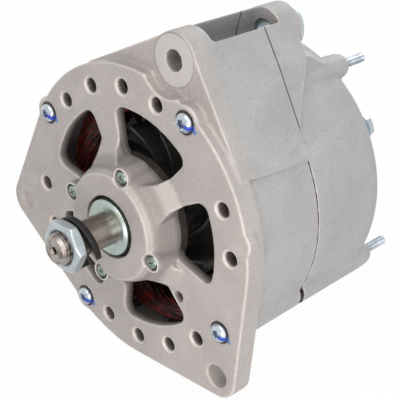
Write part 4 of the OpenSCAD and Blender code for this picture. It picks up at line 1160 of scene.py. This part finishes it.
@dataclass
class RotorNose:
    """The shaft end with what stands on it in front of the hub."""

    thread_r: float = 8.0
    seat_r: float = 8.5
    pitch: float = 1.5
    front: float = -32.5
    shoulder: float = -17.0
    nut_front: float = -28.3
    nut_back: float = -21.8
    nut_flats: float = 24.0
    nut_corner: float = 17.0
    washer_r: float = 13.0
    washer_t: float = 3.5
    washer_spread: float = 6.4
    washer_bend: float = 0.35
    washer_start: float = -20.0
    washer_turn: float = 352.0
    collar_r: float = 14.7
    collar_len: float = 6.0
    dome_r: float = 5.6
    journals: tuple[tuple[float, float, float], ...] = ((10, 44, 100), (8.7, 100, 115), (7.5, 115, 142.5))
    end: float = 143.5

    def shaft(self) -> None:
        """Turns the shaft and cuts its thread and centre hole."""
        sides, front, shoulder, seat = 96, self.front, self.shoulder, self.seat_r
        body = [(0, shoulder - 1.0), (self.thread_r - 1.2, shoulder - 1.0), (self.thread_r - 0.9, shoulder)]
        body += [(seat, shoulder + 0.5), (seat, self.journals[0][1])]
        body += [(r, y) for r, *ends in self.journals for y in ends]
        body += [(self.journals[-1][0] - 1, self.end), (0, self.end)]
        centre = ((0.02, 5.2), (1.2, 4.6), (1.3, 1.5), (2.1, 0.3), (2.5, 0.0), (self.dome_r, 0.0))
        rings = [circle(r, front + y, sides) for r, y in centre]
        depth = 0.5 * self.pitch
        for y in np.arange(front + 0.05, shoulder + 0.01, self.pitch / 12):
            grown = min(1.0, max(0.0, (y - front - 1.0) / 2.2))
            dome = math.sqrt(1 - (1 - min(1.0, (y - front) / 1.5)) ** 2)
            root = self.dome_r + (self.thread_r - depth - self.dome_r) * dome
            rings.append(circle(root + depth * grown * crest(y, self.pitch, sides, 2.4), y, sides))
        piece = Shape().turned(body).rings(rings).piece("ground_shaft", GROUND_STEEL, 40)
        hand_over(piece, Body.ROTOR, "ground_steel", "rotor_shaft")

    def nut(self) -> None:
        """Models the thin pulley nut."""
        bore = self.thread_r + 0.03
        shape = Shape().nut(self.nut_flats, bore, self.nut_front, self.nut_back, self.nut_corner)
        hand_over(shape.piece("thin_nut", BLUE_ZINC, 28), Body.ROTOR, "zinc", "pulley_nut")

    def washer(self) -> None:
        """Coils the spring washer with rounded edges."""
        inner, outer, thick, steps = self.thread_r + 1, self.washer_r, self.washer_t, 120
        corners = [(inner, 0), (outer, 0), (outer, thick), (inner, thick)]
        section = rounded([*corners, *corners[:2]], 0.35)[1:17]
        rings = []
        for t in (i / steps for i in range(steps + 1)):
            x, z = polar(1, self.washer_start + t * self.washer_turn)
            lift = self.nut_back + 0.15 + self.washer_spread * max(0.0, 1 - t / self.washer_bend) ** 2
            rings.append(np.array([(r * x, lift + y, r * z) for r, y in section]) * MM)
        piece = Shape().rings(rings).piece("spring_washer", BLACK_STEEL, 50)
        hand_over(piece, Body.ROTOR, "black_steel", "lock_washer")

    def collar(self) -> None:
        """Turns the collar with its bright chamfer."""
        r, bore, back = self.collar_r, self.seat_r + 0.03, self.collar_len
        outline = [(bore, 0), (r - 1.6, 0), (r, 1.3), (r, back - 0.5), (r - 0.5, back), (bore, back)]
        piece = Shape().turned(rounded(outline, 0.3)).piece("turned_collar", COLLAR_ZINC, 50)
        hand_over(piece, Body.ROTOR, "zinc", "pulley_collar")

    def build(self) -> None:
        """Builds every piece of the nose."""
        self.shaft()
        self.nut()
        self.washer()
        self.collar()


@dataclass
class SwivelBush:
    """The flanged bush that slides in the lug's rear boss."""

    sleeve_r: float = 7.0
    flange_r: float = 12.0
    front: float = 84.0
    flange_front: float = 96.6
    back: float = 99.7

    def build(self) -> None:
        """Turns the bush."""
        bore, sleeve, flange, step = BUSH_BORE_R, self.sleeve_r, self.flange_r, self.flange_front
        outline = [(bore, self.front), (sleeve, self.front), (sleeve, step)]
        outline += [(flange, step), (flange, self.back), (bore, self.back)]
        points = rounded([*outline, outline[0]], 0.5)[:-1]
        piece = Shape().turned(points, 72, (0, LUG_HEIGHT)).piece("turned_bush", BLUE_ZINC, 50)
        hand_over(piece, Body.BUSH, "zinc", "slide_bush")


@dataclass(frozen=True)
class Layer:
    """One layer of strands, in front (-1) or behind (1) the core, leaning in degrees and off the bundle."""

    side: int
    lean: float
    lift: float
    count: int = 64
    wire_r: float = 0.6
    finish: EnamelledWire = DARK_WIRE


@dataclass
class StatorWinding:
    """Coil sides and the lacquered overhang with its red strands."""

    front: float = 52.0
    back: float = 92.0
    front_reach: float = 22.2
    back_reach: float = 14.4
    inner_r: float = 51.6
    outer_r: float = 66.6
    slot_r: float = 61.2
    strand_r: float = 64.0
    slots: int = 36
    slot_w: float = 3.4
    layers: tuple[Layer, ...] = (
        Layer(-1, 96.0, 0.0),
        Layer(-1, 120.0, 0.7, 24, 0.3, RED_WIRE),
        Layer(-1, 118.0, -0.8),
        Layer(1, 96.0, 0.0),
        Layer(1, 120.0, 0.7, 24, 0.3, RED_WIRE),
    )

    def end(self, side: int) -> Point:
        """Where the core ends and how far the overhang reaches, in front (-1) or behind (1)."""
        return (self.front, self.front_reach) if side < 0 else (self.back, self.back_reach)

    def path(self, layer: Layer) -> np.ndarray:
        """Route of one strand from a slot's inner side over the overhang to its outer side.

        Args:
            layer: The strand's layer.

        Returns:
            Points of the route.
        """
        base, reach = self.end(layer.side)
        lift = layer.lift
        t = np.linspace(0, 1, 40)
        mid = (self.inner_r + self.strand_r) / 2
        half = (self.strand_r - self.inner_r) / 2 + lift * 0.6
        r = mid - half * np.cos(math.pi * t) + 0.35 * np.sin(7 * math.pi * t + layer.lean)
        bulge = np.sin(math.pi * t) ** 0.3
        y = base + layer.side * (1.5 + (reach - 2.2 + lift * 0.6) * bulge)
        a = np.radians(layer.lean) * (t - 0.5)
        return np.stack([r * np.cos(a), y, r * np.sin(a)], 1)

    def bundle(self) -> None:
        """Turns the lacquered overhang at both ends."""
        shape = Shape()
        low, high = self.inner_r + 0.2, self.outer_r - 0.4
        for side in (-1, 1):
            base, reach = self.end(side)
            near, far = base + side * 2, base + side * (reach - 1.6)
            bend = far - side * 4
            outline = [(low, near), (high, near), (high, bend), (high - 5, far), (low + 4, far), (low, bend)]
            shape.turned(rounded([*outline, outline[0]], 2.0)[:-1], 144)
        piece = shape.piece("winding_bundle", VARNISH, 50)
        hand_over(piece, Body.HOUSING, "copper_winding", "stator_winding")

    def coil_sides(self) -> None:
        """Sets one bar into each slot of the core."""
        bars = Shape()
        rs, half = (self.inner_r - 0.4, self.slot_r), self.slot_w / 2
        ys = (self.front - 2.2, self.back + 2.2)
        corners = [Vector((r, y, z)) * MM for r in rs for y in ys for z in (-half, half)]
        faces = [(0, 1, 3, 2), (4, 6, 7, 5), (0, 4, 5, 1), (2, 3, 7, 6), (0, 2, 6, 4), (1, 5, 7, 3)]
        for i in range(self.slots):
            turn = Matrix.Rotation(-2 * math.pi * i / self.slots, 4, "Y")
            bars.add([tuple(turn @ corner) for corner in corners], faces)
        hand_over(bars.piece("coil_sides", RED_WIRE, 30), Body.HOUSING, "copper_winding")

    def lay(self, layer: Layer, number: int) -> None:
        """Lays one layer of strands.

        Args:
            layer: The layer.
            number: Its number, which also draws its scatter.
        """
        strand = Shape().swept(self.path(layer), layer.wire_r).piece("one_strand", layer.finish, 80)
        sizes = {"Count": layer.count, "Start": 0.31 * number, "Scatter": 0.03, "Seed": number}
        mesh = RingOfPieces.mesh(strand, layer.finish, **sizes)
        piece = shown(mesh, f"strands_{number}", layer.finish, 80)
        hand_over(piece, Body.HOUSING, "copper_winding")

    def build(self) -> None:
        """Builds the lacquered bundle and the coil sides, and lays the strands over them."""
        self.bundle()
        self.coil_sides()
        for number, layer in enumerate(self.layers, 1):
            self.lay(layer, number)


@dataclass
class BrushSpring:
    """Wire spring behind one brush, coiled at one length."""

    side: str
    y: float
    bottom: float = -41.6
    length: float = 14.0
    radius: float = 1.65
    wire_r: float = 0.33
    turns: float = 7.5
    travel: float = 5.0

    def build(self) -> None:
        """Coils the spring."""
        t = np.linspace(0, 1, int(self.turns * 18))
        rise = np.clip((t - 0.06) / 0.88, 0, 1)
        a = t * self.turns * 2 * math.pi
        z = self.bottom + self.wire_r + rise * (self.length - 2 * self.wire_r - 0.1)
        path = np.stack([self.radius * np.cos(a), self.y + self.radius * np.sin(a), z], 1)
        node = f"brush_spring_{self.side}"
        piece = Shape().swept(path, self.wire_r, 8).piece(f"{node}_coil", SPRING_WIRE, 80)
        hand_over(piece, Body.HOUSING, "spring_steel", node)
        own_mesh(piece)


@dataclass
class Bevelled:
    """A sheet or moulded piece whose model shape is right, with its edges broken."""

    node: str
    body: Body
    slot: str
    finish: Finish
    width: float = 0.4

    def build(self, frame: dict) -> None:
        """Copies the node's mesh and bevels it.
        """
        mesh = welded(frame["nodes"][self.node].data.copy(), 1e-6, flat=True)
        piece = shown(mesh, f"{self.node}_dressed", self.finish)
        limits = {"limit_method": "ANGLE", "angle_limit": math.radians(38), "use_clamp_overlap": True}
        modify(piece, "BEVEL", width=self.width * MM, segments=2, **limits)
        settle(piece)
        smoothed(piece.data, self.finish, 40)
        hand_over(piece, self.body, self.slot, self.node)


@dataclass
class ChargeNut:
    """The charging terminal's nut at the rear."""

    flats: float = 12.9
    bore: float = 4.03
    face: float = 136.55
    height: float = 6.4
    corner: float = 12.0

    def build(self) -> None:
        """Models the nut and moves it to its terminal."""
        x, z = polar(CHARGE_REACH, CHARGE_ANGLE)
        shape = Shape().nut(self.flats, self.bore, self.face, self.face + self.height, self.corner)
        nut = shape.piece("charge_nut_faced", BLUE_ZINC, 28)
        nut.data.transform(Matrix.Translation((x * MM, 0, z * MM)))
        hand_over(nut, Body.HOUSING, "zinc", "charge_nut")


@dataclass
class Carried:
    """Nodes whose shape is right and that only get their finish."""

    finishes: dict[Finish, tuple[str, ...]] = field(
        default_factory=lambda: {
            BEARING_STEEL: tuple(f"{a}_bearing_{b}" for a in ENDS for b in ("outer", "inner", "balls")),
            PRESSED_STEEL: ("front_bearing_cage", "rear_bearing_cage", "diodes_positive", "diodes_negative"),
            SEAL_RUBBER: tuple(f"{a}_bearing_seals" for a in ENDS),
            RETAINER_STEEL: ("bearing_retainer",),
            GROUND_STEEL: ("spacer_sleeve",),
            CORE_STEEL: ("stator_core",),
            FORGED_STEEL: ("claw_pole_front", "claw_pole_rear", "rotor_core"),
            NYLON: ("field_bobbin",),
            FIELD_WIRE: ("field_coil",),
            BLACK_PLASTIC: ("slip_ring_hub", "exciter_diodes", "signal_insulators"),
            TURNED_COPPER: tuple(f"slip_ring_{a}" for a in ENDS),
            CARBON: tuple(f"brush_{a}" for a in ENDS),
            FIBRE: ("sink_standoffs",),
            BLUE_ZINC: ("charge_stud", "signal_studs", "signal_nuts", "regulator_screws"),
            GREY_PLASTIC: ("charge_insulator",),
        }
    )

    def build(self, frame: dict) -> None:
        """Gives each node its finish.
        """
        for finish, nodes in self.finishes.items():
            for node in nodes:
                painted(frame["nodes"][node].data, finish)
                LOG.info("%s carries %s", node, finish.name)


def toward(azimuth: float, elevation: float) -> Vector:
    """Direction from the object to an azimuth and an elevation in degrees."""
    az, el = math.radians(azimuth), math.radians(elevation)
    return Vector((math.sin(az) * math.cos(el), -math.cos(az) * math.cos(el), math.sin(el)))


@dataclass(frozen=True)
class Lamp:
    """A soft square lamp that looks at the object, its place in degrees and metres, its power in watts."""

    name: str
    azimuth: float
    elevation: float
    reach: float
    size: float
    power: float
    colour: Colour

    def hang(self, centre: Vector) -> None:
        """Adds the lamp.

        Args:
            centre: What it looks at, in metres.
        """
        away = toward(self.azimuth, self.elevation)
        data = bpy.data.lights.new(self.name, "AREA")
        data.shape = "SQUARE"
        data.size = self.size
        data.energy = self.power
        data.color = self.colour
        lamp = placed(self.name, data)
        lamp.location = centre + away * self.reach
        lamp.rotation_euler = away.to_track_quat("Z", "Y").to_euler()


@dataclass
class Studio:
    """Floor, light and the camera."""

    place: tuple[float, float, float] = (262.146, -284.323, 327.980)
    azimuth: float = 36.51
    elevation: float = 37.5
    roll: float = 15.443
    lens: float = 92.027
    sensor: float = 36.0
    shift: Point = (-0.002532, -0.000324)
    centre: tuple[float, float, float] = (0.0, 60.0, 5.0)
    floor_half: float = 7.0
    paper: float = 0.86
    sky: tuple[float, ...] = (0.93, 0.95, 1.0, 1.0)
    sky_strength: float = 0.46
    lamps: tuple[Lamp, ...] = (
        Lamp("key", 4, 58, 1.2, 0.9, 7.0, (1.0, 0.97, 0.95)),
        Lamp("right_fill", 92, 38, 1.3, 1.0, 4.3, (0.94, 0.98, 1.0)),
        Lamp("front_fill", 46, 0, 0.5, 0.35, 1.5, (1.0, 0.94, 0.91)),
        Lamp("back_fill", 205, 30, 1.4, 1.0, 6.0, (1.0, 1.0, 1.0)),
    )

    def camera(self) -> None:
        """Sets the camera where the photograph was taken from."""
        az, roll = math.radians(self.azimuth), math.radians(self.roll)
        back = toward(self.azimuth, self.elevation)
        level = Vector((math.cos(az), math.sin(az), 0.0))
        up = back.cross(level)
        right = level * math.cos(roll) + up * math.sin(roll)
        top = up * math.cos(roll) - level * math.sin(roll)
        turn = Matrix((right, top, back)).transposed().to_4x4()
        data = bpy.data.cameras.new("camera")
        data.lens = self.lens
        data.sensor_width = self.sensor
        data.shift_x, data.shift_y = self.shift
        data.clip_start, data.clip_end = 0.01, 50.0
        camera = placed("camera", data)
        camera.matrix_world = Matrix.Translation(Vector(self.place) * MM) @ turn
        bpy.context.scene.camera = camera

    def floor(self, height: float) -> None:
        """Lays the pale floor that keeps the object's shadow.

        Args:
            height: Height of the object's lowest point, in metres.
        """
        half, white = self.floor_half, (1, 1, 1, 1)
        corners = [(x * half, y * half, height) for x, y in ((-1, -1), (1, -1), (1, 1), (-1, 1))]
        mesh = bpy.data.meshes.new("floor")
        mesh.from_pydata(corners, [], [(0, 1, 2, 3)])
        floor = placed("floor", mesh)
        s = Shader("pale_floor")
        paper = s.add("ShaderNodeBsdfDiffuse", {"Color": (self.paper, self.paper, self.paper, 1)})
        glow = s.add("ShaderNodeEmission", {"Color": white, "Strength": 1.0})
        share = s.seen() * 0.96
        both = s.add("ShaderNodeMixShader", {0: share, 1: paper.outputs[0], 2: glow.outputs[0]})
        s.add("ShaderNodeOutputMaterial", {0: both.outputs[0]})
        mesh.materials.append(s.material)
        floor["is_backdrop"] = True

    def world(self) -> None:
        """Lights the scene from all sides and shows white behind it."""
        world = bpy.data.worlds.new("world")
        bpy.context.scene.world = world
        world.use_nodes = True
        n = Nodes(world.node_tree)
        soft = n.add("ShaderNodeBackground", {"Color": self.sky, "Strength": self.sky_strength})
        white = n.add("ShaderNodeBackground", {"Color": (1, 1, 1, 1), "Strength": 1.0})
        both = n.add("ShaderNodeMixShader", {0: n.seen(), 1: soft.outputs[0], 2: white.outputs[0]})
        n.add("ShaderNodeOutputWorld", {0: both.outputs[0]})

    def build(self, floor_height: float) -> None:
        """Sets up the whole studio.

        Args:
            floor_height: Height of the object's lowest point, in metres.
        """
        self.camera()
        self.floor(floor_height)
        self.world()
        for lamp in self.lamps:
            lamp.hang(Vector(self.centre) * MM)
        bpy.context.scene.view_settings.view_transform = "Standard"


def main() -> None:
    """Builds every sub-assembly in order."""
    logging.basicConfig(level=logging.INFO, format="%(message)s")
    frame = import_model()
    cad_low, cad_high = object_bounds()
    Studio().build(cad_low.z)
    Carried().build(frame)
    DriveEndHousing().build(frame)
    RearHousing().build(frame)
    bolt = {"recess": Recess.STAR, "head_r": 5.0, "head_top": 13.8, "seat": BOLT_SEAT_Y, "shank_r": 2.3}
    bolt |= {"tip": 149.0, "thread": 17.7, "reach": BOLT_REACH, "start": BOLT_ANGLES[0]}
    Screws("through_bolts", "through_bolt_set", "zinc", BOLT_ZINC, **bolt).build()
    screw = {"recess": Recess.CROSS, "head_r": 3.4, "head_top": 2.8, "seat": 5.0, "shank_r": 2.0}
    screw |= {"tip": 24.0, "reach": SCREW_REACH, "start": SCREW_ANGLES[0]}
    Screws("retainer_screws", "retainer_screw_set", "zinc_green", GREEN_ZINC, **screw).build()
    RotorNose().build()
    SwivelBush().build()
    StatorWinding().build()
    for end, y in zip(ENDS, (133.75, 141.75)):
        BrushSpring(end, y).build()
    ChargeNut().build()
    for node, body, slot, finish in (
        ("front_fan", Body.ROTOR, "fan_black", FAN_PAINT),
        ("rear_fan", Body.ROTOR, "fan_black", FAN_PAINT),
        ("brush_holder", Body.HOUSING, "black_moulding", BLACK_PLASTIC),
        ("voltage_regulator", Body.HOUSING, "regulator_case", SHEET_ALUMINIUM),
        ("heat_sink_positive", Body.HOUSING, "sink_aluminium", SHEET_ALUMINIUM),
        ("heat_sink_negative", Body.HOUSING, "sink_aluminium", SHEET_ALUMINIUM),
    ):
        Bevelled(node, body, slot, finish).build(frame)


if __name__ == "__main__":
    main()
